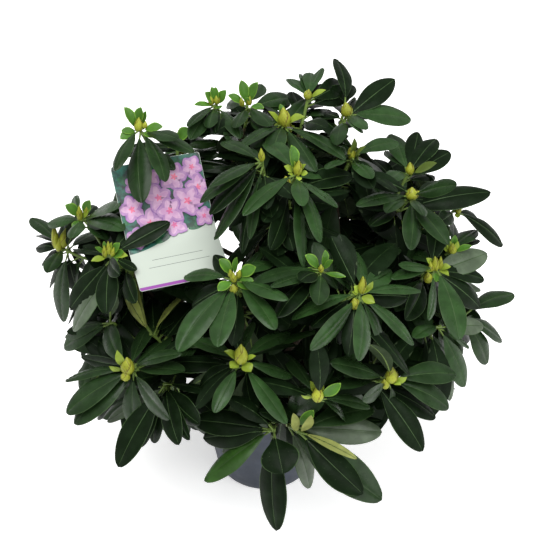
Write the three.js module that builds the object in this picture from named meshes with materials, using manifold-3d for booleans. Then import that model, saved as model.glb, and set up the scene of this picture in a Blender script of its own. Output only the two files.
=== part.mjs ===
// A bushy evergreen rhododendron in a round nursery pot, with its bent plant label.
// Millimetres, +Z up. The origin is the centre of the pot's flat underside, and -Y is the front.

import * as THREE from 'three';
import { mergeVertices } from 'three/addons/utils/BufferGeometryUtils.js';
import Module from 'manifold-3d';

const wasm = await Module();
wasm.setup();

const { Vector3, MathUtils } = THREE;

// Driving dimensions

const GAP = 0.35; // clearance between pieces that touch

const POT = {
  height: 150,
  footRadius: 72,
  footChamfer: 4,
  wall: 1.8,
  floor: 2.6,
  bandHeight: 20, // the stiff band under the rim
  bandStep: 2.2,
  rimRadius: 95,
  rimLip: 2.4,
  sides: 32,
  drainHoles: 6,
  drainHoleRadius: 5,
  drainHoleSides: 8,
  drainCircle: 54,
};

const ROOT_BALL = { top: 136, crownRise: 3, flatTop: 0.6, footInset: 4, sides: 24 };

const STEM = {
  flareRadius: 15,
  baseRadius: 11,
  forkRadius: 8.5,
  flareHeight: 9,
  fork: new Vector3(5, -4, 184),
  sides: 12,
  steps: 5,
};

const MAIN_BOUGH = { startRadius: 6.2, endRadius: 3.2, sides: 6 };
const SIDE_BOUGH = { startRadius: 4.2, endRadius: 2.4, sides: 5 };
const BOUGH_STEPS = 4;
const BOUGH_SPREAD = 0.42; // how far a bough runs outward before it turns up

const LEAF = {
  reach: 100,
  shortest: 0.85, // of the reach
  perShoot: 8,
  budRise: 30,
  droopSpread: 10, // degrees
  lean: 0.5, // how much of the droop is towards the crown
  sag: 0.6, // how much of it is straight down
};

const MASS = {
  heart: new Vector3(0, 0, 235), // every shoot points away from the crown's heart
  depth: 46, // from the shoot tips down to the middle of a mass
  coreRadius: 46,
  lobeSharpness: 11,
  unevenness: 0.12,
  ripples: 6,
  cleft: 6, // the dark gap between neighbouring masses
  detail: 3,
  backDetail: 2, // the masses behind this depth are plainer
  backFrom: 70,
};

const LABEL = {
  width: 110,
  upperLength: 95,
  lowerLength: 66,
  thickness: 0.8,
  foldCentre: new Vector3(-112, -54, 455),
  yaw: 18,
  upperSlope: 45,
  lowerSlope: 20,
  bendLength: 24,
  steps: 8,
  strides: 24, // short straight stretches that the bend is summed from
};

// Each mass of foliage: the limb that its bough grows from and where (0 at that limb's foot, 1 at its
// tip), the droop of its leaves below the level of the shoot, in degrees, its shoot tips, and the ends
// of the leaves that reach well past the rest.
const MASSES = [
  { name: 'centre_upper', parent: 'main_stem', from: 0.97, droop: 12,
    tips: [[35, -50, 547], [-5, -25, 553]] },
  { name: 'lower_middle', parent: 'main_stem', from: 0.8, droop: 20, tips: [[-27, -209, 403]] },
  { name: 'left_upper', parent: 'main_stem', from: 0.72, droop: 14,
    tips: [[-262, 19, 396], [-236, 39, 419], [-187, -79, 450]],
    reaches: [[-299, 20, 426], [-288, -20, 365]] },
  { name: 'right_upper', parent: 'main_stem', from: 0.86, droop: 14,
    tips: [[186, 74, 467], [180, -1, 480], [245, 39, 423]], reaches: [[234, 71, 495], [285, 38, 452]] },
  { name: 'back_middle', parent: 'main_stem', from: 0.65, droop: 18,
    tips: [[-20, 185, 478], [-65, 200, 425], [50, 198, 430]] },
  { name: 'top_middle', parent: 'centre_upper', from: 0.55, droop: 14,
    tips: [[24, 67, 542], [55, 118, 547]], reaches: [[89, 126, 591]] },
  { name: 'top_left', parent: 'centre_upper', from: 0.4, droop: 18,
    tips: [[-65, 116, 541], [-24, 118, 543]] },
  { name: 'top_right', parent: 'right_upper', from: 0.5, droop: 10,
    tips: [[104, 109, 531], [105, 11, 532]], reaches: [[161, 112, 575], [183, 95, 528]] },
  { name: 'upper_left', parent: 'left_upper', from: 0.5, droop: 26,
    tips: [[-162, 93, 511], [-111, 52, 521]], reaches: [[-187, 98, 543], [-204, 66, 480]] },
  { name: 'right_middle', parent: 'right_upper', from: 0.45, droop: 16,
    tips: [[208, -75, 423], [239, -2, 392]], reaches: [[304, 2, 391]] },
  { name: 'right_lower', parent: 'right_upper', from: 0.3, droop: 14,
    tips: [[214, -116, 364], [264, -32, 307]], reaches: [[318, -34, 340], [306, -63, 288], [290, -75, 263]] },
  { name: 'left_lower', parent: 'left_upper', from: 0.38, droop: 16,
    tips: [[-212, -112, 352], [-243, -52, 300]], reaches: [[-260, -85, 262]] },
  { name: 'lower_left', parent: 'left_upper', from: 0.26, droop: 16,
    tips: [[-163, -173, 354], [-172, -152, 305]], reaches: [[-256, -125, 210], [-192, -175, 170]] },
  { name: 'centre_left', parent: 'lower_middle', from: 0.6, droop: 14, tips: [[-34, -160, 478]] },
  { name: 'centre_right', parent: 'lower_middle', from: 0.5, droop: 14,
    tips: [[64, -149, 482], [111, -153, 453]] },
  { name: 'lower_right', parent: 'lower_middle', from: 0.36, droop: 12,
    tips: [[148, -184, 349], [190, -152, 315]], reaches: [[205, -165, 195], [238, -125, 225]] },
  { name: 'front_low', parent: 'lower_middle', from: 0.45, droop: 20,
    tips: [[61, -219, 356], [43, -229, 319]] },
  { name: 'front_foot', parent: 'lower_middle', from: 0.25, droop: 44, tips: [[25, -205, 255]],
    reaches: [[12, -197, 74], [155, -181, 107], [101, -215, 180], [-75, -211, 186]] },
  { name: 'back_left', parent: 'back_middle', from: 0.5, droop: 18,
    tips: [[-150, 150, 445], [-205, 110, 385]] },
  { name: 'back_right', parent: 'back_middle', from: 0.55, droop: 18,
    tips: [[130, 165, 455], [185, 130, 395]] },
  { name: 'back_low_left', parent: 'back_middle', from: 0.25, droop: 20,
    tips: [[-150, 165, 305], [-238, 70, 300]] },
  { name: 'back_low_middle', parent: 'back_middle', from: 0.35, droop: 22,
    tips: [[-18, 226, 318], [48, 216, 292]] },
  { name: 'back_low_right', parent: 'back_middle', from: 0.3, droop: 20,
    tips: [[150, 168, 300], [240, 72, 305]] },
];

// Materials

const finish = (color, roughness) => new THREE.MeshStandardMaterial({ color, roughness, metalness: 0 });
const potPlastic = finish(0x3b414c, 0.55);
const soil = finish(0x2e2119, 0.95);
const bark = finish(0x6d5a45, 0.85);
const foliage = finish(0x2f4f2c, 0.5);
const labelPlastic = finish(0xe9ede4, 0.35);

// Solids: three.js geometry into Manifold and back

function mergedPositions(geometry) {
  const bare = geometry.clone();
  bare.deleteAttribute('normal');
  bare.deleteAttribute('uv');
  return mergeVertices(bare, 1e-4);
}

function toSolid(geometry) {
  const merged = mergedPositions(geometry);
  return new wasm.Manifold(new wasm.Mesh({
    numProp: 3,
    vertProperties: new Float32Array(merged.attributes.position.array),
    triVerts: new Uint32Array(merged.index.array),
  }));
}

function toGeometry(solid) {
  const mesh = solid.getMesh();
  const geometry = new THREE.BufferGeometry();
  geometry.setAttribute('position', new THREE.BufferAttribute(mesh.vertProperties, 3));
  geometry.setIndex(new THREE.BufferAttribute(mesh.triVerts, 1));
  geometry.computeVertexNormals();
  return geometry;
}

const largestPiece = (solid) =>
  solid.decompose().reduce((best, piece) => (piece.volume() > best.volume() ? piece : best));

function boxesMeet(a, b) {
  const p = a.boundingBox();
  const q = b.boundingBox();
  return [0, 1, 2].every((i) => p.min[i] < q.max[i] && q.min[i] < p.max[i]);
}

function cutBy(solid, cutters) {
  const near = cutters.filter((cutter) => boxesMeet(solid, cutter));
  return largestPiece(near.reduce((left, cutter) => left.subtract(cutter), solid));
}

// A repeatable sequence of numbers from 0 to 1, by repeated multiplication modulo a prime
const SEQUENCE = { prime: 2147483647, multiplier: 48271, spacing: 7919 };

function sequence(seed) {
  let state = seed * SEQUENCE.spacing;
  return () => {
    state = (state * SEQUENCE.multiplier) % SEQUENCE.prime;
    return state / SEQUENCE.prime;
  };
}

// Pot and root ball, turned about the Z axis from [radius, height] profiles

function turned(profile, sides) {
  const points = profile.map(([radius, height]) => new THREE.Vector2(radius, height));
  return new THREE.LatheGeometry(points, sides).rotateX(Math.PI / 2);
}

const bandFoot = POT.height - POT.bandHeight;
const wallRadius = (height) =>
  MathUtils.mapLinear(height, 0, POT.height, POT.footRadius, POT.rimRadius - POT.bandStep - POT.rimLip);

function makePot() {
  const { footRadius, footChamfer, wall, floor, height, rimRadius, rimLip } = POT;
  const shell = toSolid(turned([
    [0, 0],
    [footRadius - footChamfer, 0],
    [wallRadius(footChamfer), footChamfer],
    [wallRadius(bandFoot), bandFoot],
    [rimRadius - rimLip, bandFoot],
    [rimRadius - rimLip, height - rimLip],
    [rimRadius, height - rimLip],
    [rimRadius, height],
    [wallRadius(height) - wall, height],
    [wallRadius(footChamfer) - wall, footChamfer],
    [0, floor],
  ], POT.sides));
  const holes = Array.from({ length: POT.drainHoles }, (_, i) => {
    const angle = (i / POT.drainHoles) * 2 * Math.PI;
    const { drainHoleRadius: radius, drainHoleSides: sides, drainCircle } = POT;
    const hole = new THREE.CylinderGeometry(radius, radius, 4 * floor, sides).rotateX(Math.PI / 2);
    return toSolid(hole.translate(drainCircle * Math.cos(angle), drainCircle * Math.sin(angle), 0));
  });
  return cutBy(shell, holes);
}

function makeRootBall() {
  const { top, crownRise, flatTop, footInset, sides } = ROOT_BALL;
  const inner = (height) => wallRadius(height) - POT.wall - 1.5 * GAP;
  return toSolid(turned([
    [0, POT.floor + GAP],
    [inner(POT.footChamfer) - footInset, POT.footChamfer + GAP],
    [inner(2 * POT.footChamfer), 2 * POT.footChamfer],
    [inner(top - crownRise), top - crownRise],
    [flatTop * inner(top), top],
    [0, top],
  ], sides));
}

// Limbs: tapering tubes bent along curves

function limb(curve, radiusAt, sides, steps) {
  const geometry = new THREE.CylinderGeometry(1, 1, 1, sides, steps);
  const frames = curve.computeFrenetFrames(steps);
  const position = geometry.attributes.position;
  const place = new Vector3();
  for (let i = 0; i < position.count; i += 1) {
    const along = position.getY(i) + 0.5;
    const step = Math.round(along * steps);
    const radius = radiusAt(along);
    place.copy(curve.getPointAt(along));
    place.addScaledVector(frames.normals[step], radius * position.getX(i));
    place.addScaledVector(frames.binormals[step], -radius * position.getZ(i));
    position.setXYZ(i, place.x, place.y, place.z);
  }
  return toSolid(geometry);
}

const stemFoot = new Vector3(0, 0, ROOT_BALL.top + GAP);
const stemCurve = new THREE.QuadraticBezierCurve3(
  stemFoot, new Vector3(0, 0, MathUtils.lerp(stemFoot.z, STEM.fork.z, 0.5)), STEM.fork);

function stemRadius(along) {
  const height = along * (STEM.fork.z - stemFoot.z);
  const flare = (STEM.flareRadius - STEM.baseRadius) * Math.exp(-height / STEM.flareHeight);
  return MathUtils.lerp(STEM.baseRadius, STEM.forkRadius, along) + flare;
}

const makeStem = (grow = 0) =>
  limb(stemCurve, (along) => stemRadius(along) + grow, STEM.sides, STEM.steps);

// Foliage masses

const vector = (list) => new Vector3(...list);
const massByName = new Map(MASSES.map((mass) => [mass.name, mass]));

function layOutMass(mass, index) {
  const random = sequence(index + 1);
  const tips = mass.tips.map(vector);
  const mean = tips.reduce((sum, tip) => sum.add(tip), new Vector3()).divideScalar(tips.length);
  const out = mean.clone().sub(MASS.heart).normalize();
  mass.centre = mean.addScaledVector(out, -MASS.depth);
  mass.lobes = tips.flatMap((tip) => [
    tip.clone().addScaledVector(out, LEAF.budRise),
    ...leafEnds(tip, mass.droop, random),
  ]).concat((mass.reaches ?? []).map(vector)).map((end) => end.sub(mass.centre));
  mass.ripple = Array.from({ length: MASS.ripples }, () =>
    new Vector3(random(), random(), random()).subScalar(0.5).normalize());
  mass.size = mass.lobes.reduce((sum, lobe) => sum + lobe.length(), 0) / mass.lobes.length;
}

// The ends of the ring of leaves round one shoot tip
function leafEnds(tip, droop, random) {
  const axis = tip.clone().sub(MASS.heart).normalize();
  const side = new Vector3(0, 0, 1).cross(axis).normalize();
  const rise = axis.clone().cross(side);
  const turn = random();
  return Array.from({ length: LEAF.perShoot }, (_, i) => {
    const angle = ((i + turn) / LEAF.perShoot) * 2 * Math.PI;
    const reach = LEAF.reach * MathUtils.lerp(LEAF.shortest, 1, random());
    const fall = MathUtils.degToRad(droop + LEAF.droopSpread * (random() - 0.5));
    return tip.clone()
      .addScaledVector(side, reach * Math.cos(fall) * Math.cos(angle))
      .addScaledVector(rise, reach * Math.cos(fall) * Math.sin(angle))
      .addScaledVector(axis, -LEAF.lean * reach * Math.sin(fall))
      .addScaledVector(new Vector3(0, 0, 1), -LEAF.sag * reach * Math.sin(fall));
  });
}

// The room that a mass has in one direction before it meets its neighbours
function roomTowards(mass, direction) {
  return MASSES.filter((other) => other !== mass).reduce((near, other) => {
    const between = other.centre.clone().sub(mass.centre);
    const distance = between.length();
    const towards = direction.dot(between) / distance;
    const share = (distance * mass.size) / (mass.size + other.size) - MASS.cleft / 2;
    return towards > 0.05 ? Math.min(near, share / towards) : near;
  }, Infinity);
}

// How far a mass reaches in one direction: an uneven core with a lobe towards each leaf end
function massRadius(mass, direction) {
  const waves = mass.ripple.reduce((sum, wave, i) => sum + Math.cos((3 + i) * direction.dot(wave)), 0);
  const dip = 1 - MASS.unevenness * (0.5 + (0.5 * waves) / mass.ripple.length);
  const reach = mass.lobes.reduce((far, end) => {
    const along = direction.dot(end) / end.length();
    return Math.max(far, end.length() * Math.exp(MASS.lobeSharpness * (along - 1)));
  }, MASS.coreRadius * dip);
  return Math.min(reach, roomTowards(mass, direction) * dip);
}

function makeMass(mass, grow = 0) {
  const detail = mass.centre.y > MASS.backFrom ? MASS.backDetail : MASS.detail;
  const geometry = mergedPositions(new THREE.IcosahedronGeometry(1, detail));
  const position = geometry.attributes.position;
  const directions = Array.from({ length: position.count }, (_, i) =>
    new Vector3().fromBufferAttribute(position, i));
  mass.lobes.forEach((end) => {
    const lobe = end.clone().normalize();
    directions.reduce((best, d) => (d.dot(lobe) > best.dot(lobe) ? d : best)).copy(lobe);
  });
  directions.forEach((direction, i) => {
    const place = direction.clone().multiplyScalar(massRadius(mass, direction) + grow).add(mass.centre);
    position.setXYZ(i, place.x, place.y, place.z);
  });
  return toSolid(geometry);
}

// Boughs: from a point on the parent, outward and then up into the middle of the mass

function layOutBough(mass) {
  const fromStem = mass.parent === 'main_stem';
  const parentCurve = fromStem ? stemCurve : massByName.get(mass.parent).curve;
  const start = parentCurve.getPointAt(mass.from);
  const end = mass.centre;
  const control = new Vector3(
    MathUtils.lerp(start.x, end.x, 0.5 + 0.5 * BOUGH_SPREAD),
    MathUtils.lerp(start.y, end.y, 0.5 + 0.5 * BOUGH_SPREAD),
    MathUtils.lerp(start.z, end.z, BOUGH_SPREAD),
  );
  mass.curve = new THREE.QuadraticBezierCurve3(start, control, end);
  mass.bough = fromStem ? MAIN_BOUGH : SIDE_BOUGH;
}

function makeBough({ curve, bough }, grow = 0) {
  const radiusAt = (along) => MathUtils.lerp(bough.startRadius, bough.endRadius, along) + grow;
  return limb(curve, radiusAt, bough.sides, BOUGH_STEPS);
}

// Label: a thin sheet of plastic, bent across

// The slope of the sheet, this far up from the fold
function labelSlope(up) {
  const bend = MathUtils.smoothstep(up, -LABEL.bendLength, LABEL.bendLength);
  return MathUtils.degToRad(MathUtils.lerp(LABEL.lowerSlope, LABEL.upperSlope, bend));
}

function labelPoint(across, up, proud) {
  const yaw = MathUtils.degToRad(LABEL.yaw);
  const widthwise = new Vector3(Math.cos(yaw), Math.sin(yaw), 0);
  const backward = new Vector3(-Math.sin(yaw), Math.cos(yaw), 0);
  const place = LABEL.foldCentre.clone();
  const stride = up / LABEL.strides;
  for (let i = 0; i < LABEL.strides; i += 1) {
    const slope = labelSlope((i + 0.5) * stride);
    place.addScaledVector(backward, stride * Math.cos(slope));
    place.z += stride * Math.sin(slope);
  }
  const slope = labelSlope(up);
  const normal = backward.multiplyScalar(-Math.sin(slope)).setZ(Math.cos(slope));
  return place.addScaledVector(widthwise, across).addScaledVector(normal, proud);
}

function makeLabel(grow = 0) {
  const width = LABEL.width + 2 * grow;
  const length = LABEL.upperLength + LABEL.lowerLength + 2 * grow;
  const middle = (LABEL.upperLength - LABEL.lowerLength) / 2;
  const geometry = new THREE.BoxGeometry(width, length, LABEL.thickness + 2 * grow, 1, LABEL.steps, 1);
  const position = geometry.attributes.position;
  for (let i = 0; i < position.count; i += 1) {
    const place = labelPoint(position.getX(i), position.getY(i) + middle, position.getZ(i));
    position.setXYZ(i, place.x, place.y, place.z);
  }
  return toSolid(geometry);
}

// Assembly: limbs first, each cut clear of the ones before it, then the masses round them

const model = new THREE.Group();

function add(name, solid, material) {
  const mesh = new THREE.Mesh(toGeometry(solid), material);
  mesh.name = name;
  model.add(mesh);
}

MASSES.forEach(layOutMass);
MASSES.forEach(layOutBough);

add('pot', makePot(), potPlastic);
add('root_ball', makeRootBall(), soil);
add('main_stem', makeStem(), bark);
add('label_card', makeLabel(), labelPlastic);

const limbGuards = new Map([['main_stem', makeStem(GAP)]]);
MASSES.forEach((mass) => {
  const earlier = [...limbGuards.values()];
  const bough = cutBy(makeBough(mass), [...earlier, makeMass(mass, GAP), makeLabel(GAP)]);
  add(`bough_${mass.name}`, bough, bark);
  limbGuards.set(mass.name, makeBough(mass, GAP));
});

MASSES.forEach((mass) => {
  const others = [...limbGuards].filter(([name]) => name !== mass.name).map(([, guard]) => guard);
  add(`foliage_${mass.name}`, cutBy(makeMass(mass), [...others, makeLabel(GAP)]), foliage);
});

export default model;
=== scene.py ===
# A potted rhododendron with its bent plant label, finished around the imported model.
# Lengths are in metres and places in the frame of the model, +Z up, unless a name says otherwise.

import math

import bmesh
import bpy
import numpy as np
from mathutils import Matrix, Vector, noise
from mathutils.bvhtree import BVHTree
from mathutils.kdtree import KDTree
from numpy import cross
from numpy.linalg import norm


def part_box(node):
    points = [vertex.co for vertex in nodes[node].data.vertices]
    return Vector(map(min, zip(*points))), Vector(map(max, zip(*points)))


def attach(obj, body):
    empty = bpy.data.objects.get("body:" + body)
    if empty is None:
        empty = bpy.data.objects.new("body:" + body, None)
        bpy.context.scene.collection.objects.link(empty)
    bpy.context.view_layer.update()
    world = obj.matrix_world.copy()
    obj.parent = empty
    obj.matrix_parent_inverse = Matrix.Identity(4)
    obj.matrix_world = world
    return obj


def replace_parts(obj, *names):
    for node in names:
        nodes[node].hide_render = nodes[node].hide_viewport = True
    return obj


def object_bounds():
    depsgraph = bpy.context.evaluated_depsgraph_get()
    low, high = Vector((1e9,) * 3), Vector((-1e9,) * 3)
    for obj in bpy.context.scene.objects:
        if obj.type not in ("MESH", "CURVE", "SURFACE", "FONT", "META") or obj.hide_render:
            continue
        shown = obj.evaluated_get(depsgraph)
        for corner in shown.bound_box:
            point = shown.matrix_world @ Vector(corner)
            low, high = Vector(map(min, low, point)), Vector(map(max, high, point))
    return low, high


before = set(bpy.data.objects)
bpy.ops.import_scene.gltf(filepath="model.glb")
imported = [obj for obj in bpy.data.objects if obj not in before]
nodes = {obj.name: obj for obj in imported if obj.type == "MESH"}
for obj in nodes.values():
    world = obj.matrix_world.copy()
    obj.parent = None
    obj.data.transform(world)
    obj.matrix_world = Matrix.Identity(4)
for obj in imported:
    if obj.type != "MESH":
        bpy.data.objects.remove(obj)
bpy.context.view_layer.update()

MM = 0.001
SEED = 7341
rng = np.random.default_rng(SEED)

# ---------------------------------------------------------------- camera

# The photograph is a square of 533 pixels, taken from 40 degrees above at about 1.5 m.
PHOTO_PIXELS = 533
PHOTO_MIDDLE = PHOTO_PIXELS / 2
FOCAL_PIXELS = 1162
SENSOR = 0.036
AIM = np.array((0.002, 0.0, 0.361))
ELEVATION = math.radians(40)
DISTANCE = 1.5

RIGHT = np.array((1.0, 0.0, 0.0))
FORWARD = np.array((0.0, math.cos(ELEVATION), -math.sin(ELEVATION)))
UPWARD = cross(RIGHT, FORWARD)
EYE = AIM - FORWARD * DISTANCE
WORLD_UP = np.array((0.0, 0.0, 1.0))


def link(thing):
    bpy.context.scene.collection.objects.link(thing)


def make_camera():
    data = bpy.data.cameras.new("camera")
    data.sensor_width = SENSOR * 1000
    data.lens = SENSOR * 1000 * FOCAL_PIXELS / PHOTO_PIXELS
    camera = bpy.data.objects.new("camera", data)
    camera.location = EYE
    camera.rotation_euler = Vector(FORWARD).to_track_quat("-Z", "Y").to_euler()
    link(camera)
    bpy.context.scene.camera = camera


def unit(v):
    return v / norm(v)


def pixel_ray(x, y):
    """The direction from the eye through a pixel of the photograph."""
    return unit(FORWARD * FOCAL_PIXELS + RIGHT * (x - PHOTO_MIDDLE) - UPWARD * (y - PHOTO_MIDDLE))


def pixel_of(point):
    """The pixel of the photograph that shows a point."""
    away = point - EYE
    scale = FOCAL_PIXELS / (away @ FORWARD)
    return PHOTO_MIDDLE + (away @ RIGHT) * scale, PHOTO_MIDDLE - (away @ UPWARD) * scale


make_camera()

# ---------------------------------------------------------------- materials

MIX_FACTOR, MIX_BASE, MIX_OTHER, MIX_RESULT = 0, 6, 7, 2  # a Mix node's sockets for colours


def srgb(red, green, blue):
    """A colour as a screen shows it, 0 to 255, in the linear values that shaders take."""
    shown = np.array((red, green, blue)) / 255
    linear = np.where(shown <= 0.04045, shown / 12.92, ((shown + 0.055) / 1.055) ** 2.4)
    return (*(float(c) for c in linear), 1.0)


class Finish:
    """A principled material, built up from the patterns that its surface shows."""

    def __init__(self, name, colour, roughness, specular=0.5):
        self.material = bpy.data.materials.new(name)
        self.material.use_nodes = True
        self.tree = self.material.node_tree
        self.shader = self.tree.nodes["Principled BSDF"]
        self.shader.inputs["Base Color"].default_value = srgb(*colour)
        self.shader.inputs["Roughness"].default_value = roughness
        self.shader.inputs["Specular IOR Level"].default_value = specular

    def node(self, kind, **inputs):
        """A node with its inputs set to values, or linked to the outputs of other nodes."""
        node = self.tree.nodes.new(kind)
        for name, value in inputs.items():
            socket = node.inputs[name.replace("_", " ")]
            if isinstance(value, bpy.types.NodeSocket):
                self.tree.links.new(value, socket)
            else:
                socket.default_value = value
        return node

    def noise(self, scale, detail, roughness=0.55, stretch=(1, 1, 1)):
        """A noise pattern on the piece, drawn out along an axis whose stretch is under 1."""
        place = self.node("ShaderNodeTexCoord").outputs["Object"]
        place = self.node("ShaderNodeMapping", Vector=place, Scale=stretch).outputs["Vector"]
        inputs = dict(Vector=place, Scale=scale, Detail=detail, Roughness=roughness)
        return self.node("ShaderNodeTexNoise", **inputs).outputs["Fac"]

    def ramp(self, factor, low, high, least=0.0, most=1.0):
        """Spreads a pattern's values between low and high over least to most."""
        ends = dict(From_Min=low, From_Max=high, To_Min=least, To_Max=most)
        return self.node("ShaderNodeMapRange", Value=factor, **ends).outputs["Result"]

    def tint(self, factor, other, low, high):
        """Mixes another colour into the base colour where factor runs from low to high."""
        mix = self.tree.nodes.new("ShaderNodeMix")
        mix.data_type = "RGBA"
        base = self.shader.inputs["Base Color"]
        if base.is_linked:
            self.tree.links.new(base.links[0].from_socket, mix.inputs[MIX_BASE])
        else:
            mix.inputs[MIX_BASE].default_value = base.default_value[:]
        mix.inputs[MIX_OTHER].default_value = srgb(*other)
        self.tree.links.new(self.ramp(factor, low, high), mix.inputs[MIX_FACTOR])
        self.tree.links.new(mix.outputs[MIX_RESULT], base)

    def roughen(self, factor, least, most):
        """Lets the roughness follow a pattern, from least to most."""
        self.tree.links.new(self.ramp(factor, 0.3, 0.7, least, most), self.shader.inputs["Roughness"])

    def raise_by(self, factor, depth, strength=1.0):
        """Raises the surface by a pattern, depth metres from its lowest to its highest."""
        bump = self.node("ShaderNodeBump", Height=factor, Distance=depth, Strength=strength)
        self.tree.links.new(bump.outputs["Normal"], self.shader.inputs["Normal"])


def leaf_finish(name, colour, roughness=0.42, specular=0.22):
    """Leathery leaf: faint mottling and a fine grain under a soft, uneven gloss."""
    finish = Finish(name, colour, roughness, specular)
    lighter = [min(255, c * 1.22 + 6) for c in colour]
    finish.tint(finish.noise(55, 4), lighter, 0.42, 0.78)
    finish.roughen(finish.noise(48, 3), roughness * 0.66, roughness * 1.3)
    finish.raise_by(finish.noise(300, 3), 0.4 * MM, 0.5)
    return finish.material


def bark_finish(name, colour, pale):
    """Bark: pale ridges between fissures that run up the limb."""
    finish = Finish(name, colour, 0.85, 0.3)
    fissures = finish.noise(260, 5, 0.65, (1, 1, 0.22))
    finish.tint(fissures, pale, 0.42, 0.68)
    finish.raise_by(fissures, 0.9 * MM)
    return finish.material


LEAF_FINISHES = {
    # The deep green is partly the darker colour of old leaves and partly painted shade, for leaves deep in
    # the crown and in shadow.
    "deep": leaf_finish("leaf_deep_green_and_painted_shade", (12, 24, 9), 0.42, 0.06),
    "mid": leaf_finish("leaf_mid_green", (25, 43, 19), 0.34, 0.15),
    "fresh": leaf_finish("leaf_fresh_green", (32, 55, 24), 0.34, 0.17),
    "young": leaf_finish("leaf_young_green", (92, 126, 42), 0.38),
    "yellow": leaf_finish("leaf_yellow_green", (116, 122, 66), 0.5, 0.15),
    "lime": leaf_finish("bract_lime_green", (112, 130, 42), 0.42),
    "bright": leaf_finish("leaf_bright_green", (36, 64, 20), 0.40, 0.2),
    "dull": leaf_finish("leaf_dull_green", (74, 90, 36), 0.42, 0.2),
    "withered": leaf_finish("leaf_withered", (136, 146, 74), 0.5, 0.15),
    "grey": leaf_finish("leaf_grey_green", (66, 78, 60), 0.4, 0.25),
}
ALIKE_BOTH_SIDES = ("young", "yellow", "lime", "dull", "withered", "grey")
underside_finish = leaf_finish("leaf_underside", (50, 62, 42), 0.62, 0.06)
stalk_finish = leaf_finish("leaf_stalk_green", (84, 104, 46), 0.45)
young_middle_finish = leaf_finish("leaf_young_middle", (58, 94, 29), 0.38)
rib_finish = leaf_finish("leaf_rib_green", (44, 64, 32), 0.45)
bud_finish = leaf_finish("bud_yellow_green", (120, 126, 36), 0.42)
bud_scale_finish = leaf_finish("bud_scale_ochre", (92, 78, 32), 0.5)
bark_material = bark_finish("bark", (46, 37, 28), (84, 72, 56))
twig_material = bark_finish("twig_bark", (46, 42, 26), (78, 74, 46))

# ---------------------------------------------------------------- joined meshes


class Bundle:
    """Many small meshes of one material, joined into one piece."""

    def __init__(self, name, material, slot="foliage"):
        self.name, self.material, self.slot = name, material, slot
        self.points, self.faces, self.count = [], [], 0

    def add(self, points, faces):
        self.points.append(points)
        self.faces.append(faces + self.count)
        self.count += len(points)

    def add_grid(self, grid, wrap=False, flip=False):
        """A sheet over rows and columns of points. wrap joins the last column to the first."""
        faces = grid_faces(*grid.shape[:2], wrap)
        self.add(grid.reshape(-1, 3), faces[:, ::-1] if flip else faces)

    def make(self):
        points = np.concatenate(self.points).astype(np.float32)
        faces = np.concatenate(self.faces).astype(np.int32)
        mesh = bpy.data.meshes.new(self.name)
        mesh.vertices.add(len(points))
        mesh.vertices.foreach_set("co", points.ravel())
        mesh.loops.add(faces.size)
        mesh.loops.foreach_set("vertex_index", faces.ravel())
        mesh.polygons.add(len(faces))
        mesh.polygons.foreach_set("loop_start", np.arange(0, faces.size, 4, dtype=np.int32))
        mesh.polygons.foreach_set("use_smooth", np.ones(len(faces), bool))
        mesh.update(calc_edges=True)
        mesh.validate()
        return finished(self.name, mesh, self.material)


def finished(name, mesh, material):
    """An object of the part, which rides on its one body."""
    mesh.materials.append(material)
    piece = bpy.data.objects.new(name, mesh)
    link(piece)
    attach(piece, "root")
    return piece


def grid_faces(rows, columns, wrap=False):
    """The quads of a grid of points, row after row."""
    i = np.arange(rows - 1)[:, None]
    j = np.arange(columns if wrap else columns - 1)[None, :]
    low, high, beside = i * columns, (i + 1) * columns, (j + 1) % columns
    return np.stack((low + j, low + beside, high + beside, high + j), -1).reshape(-1, 4)


def units(v):
    return v / np.maximum(norm(v, axis=-1, keepdims=True), 1e-12)


def turns(count):
    """Angles at even steps round a circle."""
    return np.arange(count) / count * 2 * math.pi


def polar(radius, angle):
    return radius * math.cos(angle), radius * math.sin(angle)


def run_along(line):
    """How far along a line each of its points lies."""
    return np.concatenate(([0], np.cumsum(norm(np.diff(line, axis=0), axis=1))))


def on_line(line, run, at):
    """The place, or the places, so far along a line."""
    return np.stack([np.interp(at, run, line[:, k]) for k in range(3)], -1)


def curve_points(corners, count):
    """count points on the Bezier curve of four corners."""
    t = np.linspace(0, 1, count)[:, None]
    a, b, c, d = corners
    return (1 - t) ** 3 * a + 3 * t * (1 - t) ** 2 * b + 3 * t**2 * (1 - t) * c + t**3 * d


CLOSING = 0.06  # the share of its radius that closes a tube's end
CLOSING_STEP = 0.02 * MM
ODD_WAY = unit(np.array((0.37, 0.61, 0.29)))  # a direction that no limb follows


def tube_rings(line, radii, sides, start_side=None):
    """Rings of points round a line. radii holds one radius for each ring, or one for each point."""
    tangents = units(np.gradient(line, axis=0))
    side = cross(tangents[0], ODD_WAY) if start_side is None else start_side
    turn = turns(sides)[:, None]
    radii = np.broadcast_to(np.asarray(radii, float).reshape(len(line), -1), (len(line), sides))
    rings = []
    for middle, tangent, radius in zip(line, tangents, radii):
        side = unit(side - (side @ tangent) * tangent)
        other = cross(tangent, side)
        rings.append(middle + radius[:, None] * (np.cos(turn) * side + np.sin(turn) * other))
    return np.array(rings)


def add_tube(bundle, line, radii, sides):
    """A tube along a line, with each end drawn in to a point."""
    closed = np.concatenate((radii[:1] * CLOSING, radii, radii[-1:] * CLOSING))
    step = units(np.gradient(line, axis=0)) * CLOSING_STEP
    line = np.concatenate((line[:1] - step[:1], line, line[-1:] + step[-1:]))
    bundle.add_grid(tube_rings(line, closed, sides), wrap=True)


# ---------------------------------------------------------------- the crown's frame

FOLIAGE = sorted(name for name in nodes if name.startswith("foliage_"))
BOUGHS = sorted(name for name in nodes if name.startswith("bough_"))
HEART = np.array((0.0, 0.0, 0.235))
TO_LIGHT = 0.38  # how far a shoot turns up for each step outward


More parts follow.
